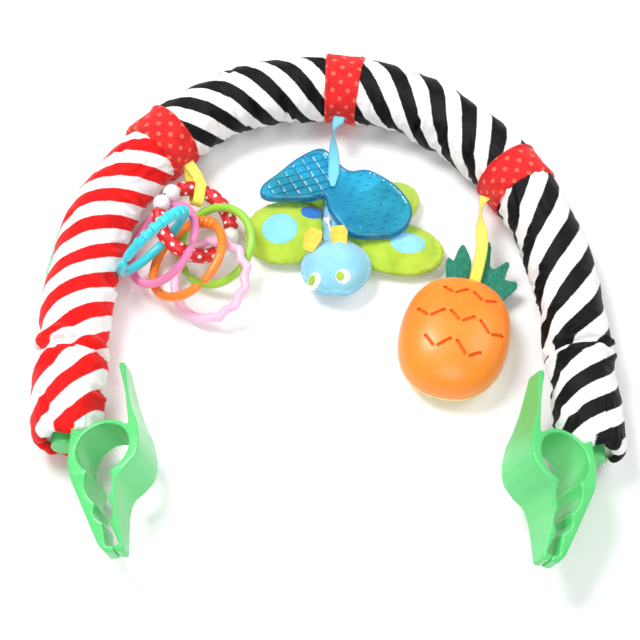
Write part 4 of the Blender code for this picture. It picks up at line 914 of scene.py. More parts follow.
def ribbon_mesh(name, middle, across, width, wall, shares=None):
    """A ribbon with rounded edges along points. Cloth coordinates are metres across and along.

    shares, where given, narrow it place by place.
    """
    profile = [(-1.0, 0.0), *RIBBON_EDGE[::-1], (1.0, 0.0), *[(x, -y) for x, y in RIBBON_EDGE]]
    runs = edge_run(middle)
    rings = []
    cloth = []
    for at, (point, side) in enumerate(zip(middle, across)):
        way = way_at(middle, at)
        side = (side - way * side.dot(way)).normalized()
        face = way.cross(side)
        half = width / 2 * (shares[at] if shares else 1.0)
        rings.append([point + side * x * half + face * y * wall for x, y in profile])
        row = [(x * width / 2, runs[at]) for x, _ in profile]
        cloth.append(row + row[:1])
    return grid_mesh(name, rings, cloth, caps=True)


# Clips
CLIP_REACH = 0.035
CLIP_CROWN = 0.0220          # the bore's middle to the outside of the bow
CLIP_DROP = 0.0245
CLIP_OPEN = math.radians(5.0)
CLIP_ROLLS = {"left": 16.0, "right": 28.0}


def clip_frame(side):
    """The clip's own frame: X inwards, Y up the leg, Z through its depth."""
    inward, length = (1.0, 0.0) if side == "left" else (-1.0, WHOLE)
    roll = math.radians(CLIP_ROLLS[side])
    across = Vector((inward * math.cos(roll), 0.0, math.sin(roll)))
    up = Vector((0.0, 1.0, 0.0))
    made = Matrix((across, up, across.cross(up))).transposed().to_4x4()
    made.translation = arch_at(length)[0] - Vector((0.0, CLIP_DROP, 0.0))
    return made


def make_clip(side):
    """Both jaws are rounded off as one sprung moulding, then parted again at the crown of the bow."""
    home = clip_frame(side)
    hinge = Vector((CLIP_REACH, CLIP_CROWN, 0.0))
    opening = Matrix.Translation(hinge) @ Matrix.Rotation(CLIP_OPEN, 4, "Z") @ Matrix.Translation(-hinge)
    joined = bmesh.new()
    for node, turn in ((side + "_clip_fixed_jaw", Matrix.Identity(4)), (side + "_clip_lever_jaw", opening)):
        mesh = node_mesh(node)
        mesh.transform(turn @ home.inverted())
        joined.from_mesh(mesh)
    size = 0.75 * MM
    mesh = applied(built(joined, side + "_clip"), voxels(size), smoothing(0.5, 10))
    fixed, lever = part_at_crown(mesh, hinge)
    lever.transform(opening.inverted())
    for node, half, body in (("fixed", fixed, "_clip"), ("lever", lever, "_lever")):
        half.transform(home)
        name = "%s_clip_%s_jaw" % (side, node)
        add(name, faced(half, 180.0), MINT, side + body, name)


def part_at_crown(mesh, hinge):
    """Cuts the bow at its crown and returns the post's side and the lever's side, both closed."""
    made = bmesh.new()
    made.from_mesh(mesh)
    bow = [f for f in made.faces if f.calc_center_median().y > CLIP_CROWN * 0.5
           and abs(f.calc_center_median().x - hinge.x) < 4 * MM]
    geometry = bow + list({e for f in bow for e in f.edges}) + list({v for f in bow for v in f.verts})
    cut = bmesh.ops.bisect_plane(made, geom=geometry, plane_co=hinge, plane_no=(1.0, 0.0, 0.0))
    edges = [e for e in cut["geom_cut"] if isinstance(e, bmesh.types.BMEdge)]
    bmesh.ops.split_edges(made, edges=edges)
    bmesh.ops.holes_fill(made, edges=[e for e in made.edges if e.is_boundary], sides=0)
    post_side = joined_to(min(made.verts, key=lambda v: v.co.x))
    halves = []
    for on_post_side in (True, False):
        half = made.copy()
        half.verts.ensure_lookup_table()
        doomed = [v for v in half.verts if (v.index in post_side) != on_post_side]
        bmesh.ops.delete(half, geom=doomed, context="VERTS")
        halves.append(built(half, "clip_half"))
    made.free()
    return halves


def joined_to(start):
    """Numbers of all the points that edges join to one point."""
    seen = {start}
    queue = [start]
    while queue:
        vert = queue.pop()
        fresh = {edge.other_vert(vert) for edge in vert.link_edges} - seen
        seen |= fresh
        queue.extend(fresh)
    return {vert.index for vert in seen}


# Rings toy
RING_RADIUS = 0.0275
RING_CORE = 0.0020
SLEEVE_RADIUS = 0.0053
BEAD_RADIUS = 0.0063
RING_HANG = Vector((0.00655, -0.04993, -0.00022))
RING_TILTS = (1.0, 23.0)
RIBBON_TURN = 88.0           # where the ribbon goes round the ring, in degrees
BEAD_TURNS = (133.0, 160.0, -11.0, -38.0)
SLEEVE_TURNS = (("upper", 4.0, 118.0), ("lower", 175.0, 307.0))
# Each link: radius, tube, place from the ring's middle in shares of its radius, tilts, slit, relief
LINKS = {
    "green_link": (0.0290, 0.0030, (0.528, -0.547, -0.286), (10.7, -26.6), 215.0, "dots"),
    "orange_link": (0.0310, 0.0033, (-0.168, -1.109, -0.045), (-6.0, -35.9), -60.0, "ribs"),
    "pink_link": (0.0310, 0.0030, (-0.822, -0.645, -0.070), (-1.8, -39.6), -22.0, "plain"),
    "cyan_link": (0.0300, 0.0033, (-1.028, -1.040, 0.686), (42.5, 110.0), 262.0, "blocks"),
    "rose_link": (0.0285, 0.0033, (0.417, -1.598, -0.242), (12.7, -26.2), 120.0, "waves"),
}
SLIT = 1.2 * MM


def disc_frame(place, tilts):
    """Frame of a ring that lies in its own X and Y, tilted about X and then about Y."""
    tilt_x, tilt_y = (Matrix.Rotation(math.radians(tilt), 4, axis) for tilt, axis in zip(tilts, "XY"))
    return Matrix.Translation(place) @ tilt_y @ tilt_x


ROUND_END_RINGS = 6
ROUND_END_TURN = math.pi / 2 * 0.98


def circle_tube(name, home, radius, start, end, steps, sides, tube, round_ends=False):
    """A tube on a circle between two turns. tube(share, around) gives its radius and radial shift."""
    rounds = ROUND_END_RINGS if round_ends else 0
    rows = [(0.0, -n / rounds) for n in range(rounds, 0, -1)]
    rows += [(step / steps, 0.0) for step in range(steps + 1)]
    rows += [(1.0, n / rounds) for n in range(1, rounds + 1)]
    rings = []
    cloth = []
    for share, over in rows:
        bend = math.sin(over * ROUND_END_TURN) * tube(share, 0.0)[0] / radius
        shrink = math.cos(over * ROUND_END_TURN)
        turn = math.radians(start + (end - start) * share) + bend
        ring = []
        row = []
        for j in range(sides + 1):
            around = 2 * math.pi * j / sides
            thick, shift = tube(share, around)
            reach = radius + shift + thick * shrink * math.cos(around)
            high = thick * shrink * math.sin(around)
            ring.append(home @ Vector((reach * math.cos(turn), reach * math.sin(turn), high)))
            row.append((turn * radius, thick * around))
        rings.append(ring[:-1])
        cloth.append(row)
    return grid_mesh(name, rings, cloth, caps=True)


def on_ring(home, turn):
    """A place on the big ring's middle line."""
    angle = math.radians(turn)
    return home @ Vector((RING_RADIUS * math.cos(angle), RING_RADIUS * math.sin(angle), 0.0))


def soft_box(value, low, high, soft):
    """1 between two values, fading to 0 over a soft edge."""
    return 1.0 / (1.0 + math.exp(-(value - low) / soft)) / (1.0 + math.exp((value - high) / soft))


# Relief of each kind of link: how many round it, the part of its length that has it and its soft edge
LINK_RELIEF = {"plain": (0, 0.0, 0.0, 1.0), "dots": (56, 0.395, 0.466, 0.001),
               "ribs": (34, 0.29, 0.38, 0.003), "blocks": (25, 0.57, 0.93, 0.004),
               "waves": (12, 0.40, 0.94, 0.015)}
DOT_HEIGHT = 0.8 * MM
RIB_HEIGHT = 0.85 * MM
RIB_BASE = 0.25 * MM
BLOCK_HEIGHT = 1.9 * MM
BLOCK_BASE = 0.2 * MM
WAVE_HEIGHT = 1.25 * MM


def link_tube(kind, base):
    """How thick a link is, and how its line wanders, at a share of its length and a turn round it."""
    count, first, last, soft = LINK_RELIEF[kind]

    def tube(share, around):
        thick, shift = base, 0.0
        end = 1.0 - 0.10 * math.exp(-min(share, 1.0 - share) / 0.01)
        run = soft_box(share, first, last, soft)
        turn = 2 * math.pi * share * count
        if kind == "dots":
            spot = abs((share * count) % 1.0 - 0.5) * 2 * run
            face = math.exp(-((around - math.pi / 2) / 0.40) ** 2)
            thick += DOT_HEIGHT * face * soft_box(spot, 0.50, 2.0, 0.05)
        elif kind == "ribs":
            thick += (RIB_BASE + RIB_HEIGHT * soft_box(math.cos(turn), -0.2, 2.0, 0.15)) * run
        elif kind == "blocks":
            block = soft_box(math.cos(turn), -0.05, 2.0, 0.05) * abs(math.cos(around)) ** 0.5
            thick += (BLOCK_HEIGHT * block - BLOCK_BASE) * run
        elif kind == "waves":
            shift = WAVE_HEIGHT * math.sin(turn) * run
        return thick * end, shift
    return tube


def make_links(middle):
    for name, (radius, tube, shares, tilts, slit, kind) in LINKS.items():
        home = disc_frame(middle + Vector(shares) * RING_RADIUS, tilts)
        half = math.degrees((SLIT / 2 + tube) / radius)
        steps = 360
        mesh = circle_tube(name, home, radius, slit + half, slit + 360.0 - half, steps, 26,
                           link_tube(kind, tube), round_ends=True)
        add(name, mesh, LINK_LOOKS[name], name.replace("_link", "_ring"), name)


def make_bead(number, home, turn):
    """A threaded bead with softly broken rims at its bore."""
    bore = RING_CORE + GAP
    angles = [0.36 + (math.pi - 0.72) * step / 24 for step in range(25)]
    profile = [(BEAD_RADIUS * math.sin(angle) ** 0.96, BEAD_RADIUS * math.cos(angle)) for angle in angles]
    rim = profile[0][1] - 0.3 * MM
    profile = [(bore, rim - 0.6 * MM), (bore + 0.15 * MM, rim)] + profile
    profile += [(bore + 0.15 * MM, -rim), (bore, 0.6 * MM - rim)]
    spot = home.copy()
    spot.translation = on_ring(home, turn)
    along = Matrix.Rotation(math.radians(turn), 4, "Z") @ Matrix.Rotation(math.radians(-90.0), 4, "X")
    name = "ring_bead_%d" % number
    add(name, revolved(name, profile, spot @ along, 40, loop=True), WHITE_GLOSS, "rings_toy", name)


def revolved(name, profile, matrix, sides, loop=False, stretch=1.0, square=0.0):
    """A profile of (radius, height) turned about Z."""
    turns = [2 * math.pi * j / sides for j in range(sides + 1)]
    swells = [1.0 + square * (1.0 - math.cos(4 * turn)) / 2 for turn in turns]
    rings = [[matrix @ Vector((radius * swell * math.cos(turn), radius * swell * math.sin(turn) * stretch,
                               height)) for turn, swell in zip(turns[:-1], swells)]
             for radius, height in profile]
    cloth = [[(height, radius * turn) for turn in turns] for radius, height in profile]
    return grid_mesh(name, rings, cloth + cloth[:1], ring_loop=loop, caps=not loop)


def sleeve_tube(share, around):
    """A sleeve's radius, drawn in at its ends and faintly wavy."""
    edge = math.exp(-min(share, 1.0 - share) / 0.012)
    return SLEEVE_RADIUS - 1.1 * MM * edge ** 2 + 0.10 * MM * math.sin(share * 40), 0.0


def make_big_ring(home):
    for title, start, end in SLEEVE_TURNS:
        name = "ring_sleeve_" + title
        mesh = circle_tube(name, home, RING_RADIUS, start, end, 80, 32, sleeve_tube)
        add(name, mesh, SLEEVE, "rings_toy", name)
    for number, turn in enumerate(BEAD_TURNS, 1):
        make_bead(number, home, turn)
    dress(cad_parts["big_ring_core"].data, WHITE_GLOSS)


def make_ring_ribbon(home):
    """Yellow ribbon: from the band, over the ring's tube, round it and back."""
    reach = SLEEVE_RADIUS + RIBBON_WALL / 2 + 2 * GAP
    tube = on_ring(home, RIBBON_TURN)
    away = (tube - home.translation).normalized()
    rise = home.col[2].to_3d()
    inner = band_face(LEFT_SEAM)
    apart = Vector((0.0, 0.0, RIBBON_WALL + GAP))
    loop = tube - away * (SLEEVE_RADIUS + reach)
    start, end = inner + apart, inner - apart
    over, under = ([tube + (away * math.cos(turn) + rise * math.sin(turn)) * reach
                    for turn in map(math.radians, turns)] for turns in ((65, 90, 115), (-115, -90, -65)))
    route = [start, start.lerp(over[0], 0.5) + rise * reach / 4, *over, loop + rise * reach / 2,
             loop - rise * reach / 2, *under, end.lerp(under[-1], 0.5) - rise * reach / 4, end]
    middle = smooth_through(route, 9)
    way = arch_at(LEFT_SEAM)[1]
    along = away.cross(rise)
    last = len(middle) - 1
    sides = [way.lerp(along, 1.0 - abs(2.0 * at / last - 1.0) ** 3) for at in range(last + 1)]
    mesh = ribbon_mesh("ring_ribbon", middle, sides, RIBBON_WIDTH, RIBBON_WALL)
    add("ring_ribbon", mesh, YELLOW_RIBBON, "rings_toy", "ring_ribbon")


def make_rings():
    middle = band_face(LEFT_SEAM) + RING_HANG
    home = disc_frame(middle, RING_TILTS)
    make_big_ring(home)
    make_links(middle)
    make_ring_ribbon(home)


# Butterfly toy
WING_SPAN = 0.110
BUTTERFLY_HANG = Vector((-0.00295, -0.08875, 0.0))
WING_LOFT = 0.0085
HEAD_LOFT = 0.0165
REST = 0.5 * MM
TEETHER_FLOOR = 0.0184
TEETHER_WALL = 0.0070
TEETHER_SHARES = ((-0.495, 0.205), (-0.480, 0.282), (-0.380, 0.375), (-0.245, 0.500), (-0.100, 0.572),
                  (-0.010, 0.505), (0.055, 0.420), (0.110, 0.392), (0.222, 0.398), (0.386, 0.290),
                  (0.485, 0.150), (0.500, 0.045), (0.460, -0.050), (0.375, -0.112), (0.230, -0.128),
                  (0.105, -0.110), (0.020, -0.025), (-0.045, 0.085), (-0.075, 0.190), (-0.160, 0.170),
                  (-0.300, 0.165), (-0.430, 0.170))


def fly_point(shares, height):
    """A place on the butterfly, in shares of its wing span from the middle."""
    middle = band_face(MIDDLE_SEAM) + BUTTERFLY_HANG
    return Vector((middle.x + shares[0] * WING_SPAN, middle.y + shares[1] * WING_SPAN, height))


PRESSURE = 4.0
SETTLE_FRAMES = 20
SEAM_PIN = 0.9 * MM          # points this near the seam's height stay pinned


def pin_seam(holder, middle, span, seam_height):
    """Pins the sewn edge of a stuffed form."""
    pinned = holder.vertex_groups.new(name="seam")
    for vert in holder.data.vertices:
        far = (vert.co.xy - Vector(middle[:2])).length > span * 0.4
        if far and abs(vert.co.z - seam_height) < SEAM_PIN:
            pinned.add([vert.index], 1.0, "REPLACE")


def blow_up(mesh, cap, seam_height):
    """Cloth simulation: the form swells, pinned along its sewn seam, each point within a cap."""
    scene = bpy.context.scene
    holder = linked("cloth", mesh)
    before = np.array([tuple(v.co) for v in mesh.vertices])
    middle = before.mean(axis=0)
    pin_seam(holder, middle, np.abs(before[:, :2] - middle[:2]).max(), seam_height)
    cloth = holder.modifiers.new("Cloth", "CLOTH")
    cloth.settings.use_pressure = True
    cloth.settings.uniform_pressure_force = PRESSURE
    cloth.settings.vertex_group_mass = "seam"
    cloth.settings.shrink_min = -0.05
    cloth.settings.effector_weights.gravity = 0.0
    cloth.point_cache.frame_start = 1
    cloth.point_cache.frame_end = SETTLE_FRAMES
    for step in range(1, SETTLE_FRAMES + 1):
        scene.frame_set(step)
    swollen = holder.evaluated_get(bpy.context.evaluated_depsgraph_get()).to_mesh()
    after = np.array([tuple(v.co) for v in swollen.vertices])
    scene.frame_set(1)
    bpy.data.objects.remove(holder)
    move = after - before
    size = np.linalg.norm(move, axis=1)
    move *= (np.minimum(size, cap) / np.maximum(size, 1e-9))[:, None]
    mesh.vertices.foreach_set("co", (before + move).astype(np.float32).ravel())
    mesh.update()


def stuffed(node, loft, mat, voxel, cap, slack=0.0):
    """A stuffed form: the CAD solid's shape, blown up as cloth, with a sewn seam round its edge.

    slack keeps its skin that much inside, where a neighbour swings close by.
    """
    mesh = applied(node_mesh(node), voxels(voxel), smoothing(0.5, 4))
    seam = REST + loft
    blow_up(mesh, cap, seam)
    mesh = applied(mesh, smoothing(0.5, 2), finer(1))
    centre = sum((v.co for v in mesh.vertices), Vector()) / len(mesh.vertices)
    normals = [v.normal.copy() for v in mesh.vertices]
    for vert, normal in zip(mesh.vertices, normals):
        away = vert.co - centre
        height = (vert.co.z - seam) / MM
        pucker = 0.21 * math.sin(math.atan2(away.y, away.x) * 46) * math.exp(-(abs(height) / 2.4) ** 2)
        lips = 0.35 * math.exp(-((abs(height) - 1.2) / 0.7) ** 2)
        groove = 0.55 * math.exp(-(height / 0.55) ** 2)
        filling = noise.noise(vert.co / 0.011) * 0.5 + noise.noise(vert.co / 0.0045) * 0.16
        vert.co += normal * ((lips - groove + pucker + filling) * MM - slack)
        vert.co.z = max(vert.co.z, REST)
    made = add(node, faced(mesh, 80.0), mat, "stuffed_toy", node)
    return made


PATCH_RINGS = 18
PATCH_SIDES = 56


def drape_patch(name, carrier, centre, halves, mat, node, lift=0.55 * MM, turn=0.0):
    """A sewn patch that follows the form under it, with a rounded raised edge."""
    rings = []
    for n in range(1, PATCH_RINGS + 1):
        share = n / PATCH_RINGS
        height = lift * math.sqrt(max(0.0, 1.0 - share ** 10)) - 0.15 * MM
        ring = []
        for j in range(PATCH_SIDES):
            angle = 2 * math.pi * j / PATCH_SIDES
            x = math.cos(angle) * halves[0] * share
            y = math.sin(angle) * halves[1] * share
            spot = Vector((centre.x + x * math.cos(turn) - y * math.sin(turn),
                           centre.y + x * math.sin(turn) + y * math.cos(turn), 0.1))
            hit, place, normal, _ = carrier.ray_cast(spot, Vector((0.0, 0.0, -1.0)))
            base = place if hit else Vector((spot.x, spot.y, centre.z))
            ring.append(base + normal * height)
        rings.append(ring)
    rings.append([p - Vector((0.0, 0.0, 0.5 * MM)) for p in rings[-1]])
    cloth = [[(min(n / PATCH_RINGS, 1.0), j / PATCH_SIDES) for j in range(PATCH_SIDES + 1)]
             for n in range(1, len(rings) + 1)]
    add(name, grid_mesh(name, rings, cloth, caps=True), mat, "stuffed_toy", node)


# Stuffed pieces: loft, material, cap of the cloth's movement and slack
STUFFED = {
    "butterfly_head": (HEAD_LOFT, BLUE_VELOUR, 1.2 * MM, 0.0),
    "butterfly_body": (WING_LOFT, BLUE_VELOUR, 0.8 * MM, 0.0),
    "left_lower_wing": (WING_LOFT, GREEN_VELOUR, 0.5 * MM, 0.8 * MM),
    "left_upper_wing": (WING_LOFT, GREEN_VELOUR, 0.7 * MM, 0.0),
    "right_lower_wing": (WING_LOFT, GREEN_VELOUR, 0.9 * MM, 0.0),
    "right_upper_wing": (WING_LOFT, GREEN_VELOUR, 0.7 * MM, 0.0),
}
# Patches: what carries them, place and half sizes in shares of the wing span, and material
PATCHES = {
    "left_wing_patch": ("left_lower_wing", (-0.365, -0.015), (0.120, 0.118), PATCH_BLUE),
    "right_wing_patch": ("right_lower_wing", (0.470, -0.130), (0.118, 0.085), PATCH_BLUE),
    "deep_blue_patch": ("left_lower_wing", (-0.158, 0.125), (0.072, 0.060), PATCH_DEEP),
}


def make_stuffed_toy():
    voxel = 1.3 * MM
    forms = {node: stuffed(node, loft, mat, voxel, cap, slack)
             for node, (loft, mat, cap, slack) in STUFFED.items()}
    bpy.context.view_layer.update()
    for name, (carrier, place, halves, mat) in PATCHES.items():
        size = [half * WING_SPAN for half in halves]
        drape_patch(name, forms[carrier], fly_point(place, REST + WING_LOFT), size, mat, name)
    make_eyes(forms["butterfly_head"])
    make_feelers()
    make_tie()


# Eyes: place, half sizes and the pupil's shift in shares of the wing span, and turn in radians
EYES = {
    "left_eye": ((-0.140, -0.448), (0.045, 0.042), (-0.014, 0.006), -0.6),
    "right_eye": ((0.045, -0.446), (0.050, 0.040), (-0.018, 0.000), 0.2),
}


def make_eyes(head):
    """Two oval felt eyes with green pupils."""
    high = REST + HEAD_LOFT
    for name, (place, halves, shift, turn) in EYES.items():
        size = [half * WING_SPAN for half in halves]
        drape_patch(name, head, fly_point(place, high), size, WHITE_FELT, name, 0.4 * MM, turn)
        spot = fly_point((place[0] + shift[0], place[1] + shift[1]), high)
        pupil_size = (size[0] * 0.55, size[1] * 0.62)
        drape_patch(name + "_pupil", head, spot, pupil_size, PUPIL, None, 0.8 * MM, turn)


FEELER_OUTLINE = ((-0.36, -0.5), (0.36, -0.5), (0.60, 0.20), (0.42, 0.5), (-0.38, 0.5), (-0.62, 0.12))
FEELER_SIZE = (10.6 * MM, 17.0 * MM)
FEELER_WALL = 1.6 * MM
FEELER_DROP = 4.6 * MM       # below the top of the head


def make_feelers():
    """Two felt feelers, cut as blunt six-sided leaves and folded up from the head."""
    corners = [Vector((x * FEELER_SIZE[0], y * FEELER_SIZE[1], 0.0)) for x, y in FEELER_OUTLINE]
    rim = [a.lerp(b, share) for a, b in zip(corners, corners[1:] + corners[:1])
           for share in (0.04, 0.35, 0.65, 0.96)]
    for name, place, turn, lean in (("left_feeler", (-0.150, -0.180), 24.0, 22.0),
                                    ("right_feeler", (0.022, -0.158), -10.0, 24.0)):
        mesh = plate_mesh(name, rim, FEELER_WALL, lambda x: 0.07 * (x / MM) ** 2 * MM)
        turned_by = Matrix.Rotation(math.radians(-turn), 4, "Z") @ Matrix.Rotation(math.radians(lean), 4, "X")
        mesh.transform(Matrix.Translation(fly_point(place, REST + 2 * HEAD_LOFT - FEELER_DROP)) @ turned_by)
        add(name, mesh, YELLOW_FELT, "stuffed_toy", name)


PLATE_SHARES = (0.05, 0.25, 0.45, 0.65, 0.82, 0.93)
PLATE_EDGE = ((0.985, -0.38), (1.0, 0.0), (0.985, 0.38))


def plate_mesh(name, rim, wall, bend):
    """A flat piece from its outline, with rounded edges. bend gives its height at a place across."""
    centre = sum(rim, Vector()) / len(rim)
    steps = [(share, -0.5) for share in PLATE_SHARES] + list(PLATE_EDGE)
    steps += [(share, 0.5) for share in PLATE_SHARES[::-1]]
    rings = []
    for share, side in steps:
        spots = [centre + (point - centre) * share for point in rim]
        rings.append([spot + Vector((0.0, 0.0, side * wall + bend(spot.x))) for spot in spots])
    cloth = [[(p.x, p.y) for p in (*ring, ring[0])] for ring in rings]
    return grid_mesh(name, rings, cloth, caps=True)


TIE_SHARES = ((-0.055, 0.040), (-0.043, -0.010), (-0.030, -0.060))
TIE_LIFT = 1.6 * MM
TIE_RADIUS = 0.95 * MM
KNOT_RADIUS = 0.75 * MM
KNOT_STEPS = 90


def make_tie():
    """The short white cord that ties the stuffed toy to the teether, with its knot."""
    height = REST + 2 * WING_LOFT + TIE_LIFT
    points = smooth_through([fly_point(share, height) for share in TIE_SHARES], 24)
    radii = [TIE_RADIUS * (1.0 + 0.16 * math.sin(n * 0.9)) for n in range(len(points))]
    knot = []
    for n in range(KNOT_STEPS):
        t = 2 * math.pi * n / KNOT_STEPS
        local = Vector((math.sin(t) + 2 * math.sin(2 * t), math.cos(t) - 2 * math.cos(2 * t),
                        -math.sin(3 * t)))
        knot.append(points[4] + local * KNOT_RADIUS)
    joined = bmesh.new()
    joined.from_mesh(tube_along("cord", points, radii, 12))
    joined.from_mesh(tube_along("knot", knot + knot[:1], [KNOT_RADIUS] * (KNOT_STEPS + 1), 8))
    tie = built(joined, "white_tie_cord")
    tie.shade_smooth()
    add("white_tie_cord", tie, WHITE_FELT, "stuffed_toy", "white_tie_cord")


LATTICE_PITCHES = (8.0, 6.2)
LATTICE_WIDTH = 0.75
DASH_ROW_PITCH = 4.8
DASH_WIDTH = 0.6
DASH_PITCH = 10.0
DASH_DEPTH = 0.8             # as a share of the lattice's


def groove_depth(x, y):
    """Pressed pattern of the teether: a lattice on the left wing and dashes on the right.

    The pattern's sizes are in millimetres, and its depth goes from 0 to 1.
    """
    along = (x * 0.86 + y * 0.50) / MM
    down = (x * 0.30 - y * 0.95) / MM
    lattice = max(math.exp(-((at % pitch - pitch / 2) / LATTICE_WIDTH) ** 2)
                  for at, pitch in zip((along, down), LATTICE_PITCHES))
    row = math.exp(-((down % DASH_ROW_PITCH - DASH_ROW_PITCH / 2) / DASH_WIDTH) ** 2)
    stagger = DASH_PITCH / 2 * math.floor(down / DASH_ROW_PITCH)
    dash = row * soft_box((along + stagger) % DASH_PITCH, 2.0, 6.5, 0.3)
    middle = band_face(MIDDLE_SEAM) + BUTTERFLY_HANG
    left = soft_box((middle.x - x) / WING_SPAN, 0.02, 9.0, 0.01)
    right = soft_box((x - middle.x) / WING_SPAN, 0.06, 9.0, 0.02)
    return left * lattice + right * dash * DASH_DEPTH


TEETHER_ROUNDING = 2.2 * MM


def teether_blank(rim):
    """A plate with a rounded edge, from its outline."""
    data = bpy.data.curves.new("clear_teether", "CURVE")
    data.dimensions = "2D"
    data.fill_mode = "BOTH"
    data.extrude = TEETHER_WALL / 2 - TEETHER_ROUNDING
    data.bevel_depth = TEETHER_ROUNDING
    data.bevel_resolution = 4
    data.offset = -TEETHER_ROUNDING
    line = data.splines.new("POLY")
    line.points.add(len(rim) - 1)
    for at, point in enumerate(rim):
        line.points[at].co = (point.x, point.y, 0.0, 1.0)
    line.use_cyclic_u = True
    shape = linked("teether_outline", data)
    bpy.context.view_layer.update()
    blank = bpy.data.meshes.new_from_object(shape.evaluated_get(bpy.context.evaluated_depsgraph_get()))
    bpy.data.objects.remove(shape)
    blank.name = "clear_teether"
    blank.materials.clear()
    blank.transform(Matrix.Translation((0.0, 0.0, TEETHER_FLOOR + TEETHER_WALL / 2)))
    weld(blank, GAP / 30)
    return blank


def make_teether():
    """A flat water teether: rounded rim, soft crown and pressed relief."""
    rim = smooth_through([fly_point(share, 0.0) for share in TEETHER_SHARES], 6, closed=True)
    voxel = 0.8 * MM
    mesh = applied(teether_blank(rim), voxels(voxel), smoothing(0.5, 3), finer(1))
    edge = np.array([(p.x, p.y) for p in rim])
    rises = [v.normal.z for v in mesh.vertices]
    painted_shade = []
    for vert, rise in zip(mesh.vertices, rises):
        near = float(np.min(np.hypot(edge[:, 0] - vert.co.x, edge[:, 1] - vert.co.y))) / MM
        inside = soft_box(near, 3.4, 99.0, 0.25)
        depth = groove_depth(vert.co.x, vert.co.y) * inside
        if rise > 0.5 and vert.co.z > TEETHER_FLOOR + TEETHER_WALL - 2.0 * MM:
            ridge = 0.45 * math.exp(-((near - 2.2) / 0.9) ** 2)
            swell = noise.noise(vert.co / 0.016) * 0.5
            vert.co.z += (ridge - 0.55 * depth + swell * inside) * MM
        # painted shade: darker in the pressed grooves and in a strip along the rim
        painted_shade.append(max(depth * 0.75, 0.85 * math.exp(-(near / 1.6) ** 2)))
    groove = mesh.attributes.new("groove", "FLOAT", "POINT")
    groove.data.foreach_set("value", np.array(painted_shade, dtype=np.float32))
    add("clear_teether", faced(mesh, 80.0), TEETHER, "butterfly", "clear_teether")


def make_teether_ribbon():
    """Blue ribbon from the middle band: it turns over once and lies flat on the teether."""
    top = TEETHER_FLOOR + TEETHER_WALL + 2 * GAP + RIBBON_WALL / 2
    inner = band_face(MIDDLE_SEAM)
    twist = fly_point((-0.010, 0.620), top)
    middle = smooth_through([inner, inner.lerp(twist, 0.5), twist, fly_point((-0.010, 0.420), top),
                             fly_point((-0.020, 0.250), top)], 14)
    way = arch_at(MIDDLE_SEAM)[1]
    last = len(middle) - 1
    sides = []
    waist = []
    for at, point in enumerate(middle):
        turn = math.pi * min(1.0, max(0.0, at / len(middle) * 1.6 - 0.2))
        sides.append(way * math.cos(turn) + Vector((0.0, 0.0, math.sin(turn))))
        point.z = max(point.z, top + RIBBON_WIDTH / 2 * math.sin(turn) + 0.7 * MM)
        share = at / last
        gather = 0.60 * math.exp(-((share - 0.40) / 0.11) ** 2)
        waist.append(1.0 - gather - 0.65 * max(0.0, share - 0.84) / 0.16)
    mesh = ribbon_mesh("teether_ribbon", middle, sides, RIBBON_WIDTH, RIBBON_WALL, waist)
    add("teether_ribbon", mesh, BLUE_RIBBON, "butterfly", "teether_ribbon")


# Pineapple toy
PINE_HANG = Vector((-0.02552, -0.11239, 0.0))
PINE_TURN = -14.0
PINE_HALF_WIDTH = 0.0385
PINE_HALF_LENGTH = 0.0466
PINE_OVAL = PINE_HALF_LENGTH / PINE_HALF_WIDTH
PINE_SQUARE = 0.045
PINE_RIM = 0.0150
PINE_TOP = 0.0430
SKIRT = 0.0060
SHELL_WALL = 2.0 * MM
FLANGE = PINE_RIM - 1.8 * MM
SLOT_HALF = 1.25 * MM        # half a slot's width
SLOT_TRIM = 0.9 * MM         # what both ends of a slot's middle line are drawn in by
SLOTS = (
    ((-0.38, 0.60), (-0.20, 0.51)), ((-0.14, 0.50), (0.07, 0.63)), ((0.17, 0.60), (0.36, 0.47)),
    ((0.42, 0.47), (0.61, 0.56)), ((-0.74, 0.15), (-0.53, 0.03)), ((-0.47, 0.03), (-0.24, 0.17)),
    ((-0.15, 0.17), (0.05, 0.03)), ((0.11, 0.02), (0.31, 0.15)), ((0.41, 0.12), (0.62, -0.05)),
    ((0.66, -0.05), (0.86, 0.03)), ((-0.49, -0.30), (-0.29, -0.46)), ((-0.23, -0.45), (-0.01, -0.29)),
    ((0.09, -0.30), (0.30, -0.49)), ((0.36, -0.50), (0.56, -0.38)))


def pine_frame():
    """The pineapple's own frame: Y towards its crown, Z up, from the floor."""
    middle = band_face(RIGHT_SEAM) + PINE_HANG
    return Matrix.Translation((middle.x, middle.y, 0.0)) @ Matrix.Rotation(math.radians(PINE_TURN), 4, "Z")


def dome(inset, spread, steps):
    """Profile of the dome at some depth under its surface, from its top down."""
    low = PINE_RIM + SKIRT / 2
    angles = [math.pi / 2 * (0.03 + spread * step / steps) for step in range(steps + 1)]
    return [((PINE_HALF_WIDTH - inset) * math.sin(angle) ** 0.85,
             low + (PINE_TOP - inset - low) * math.cos(angle) ** 0.9) for angle in angles]


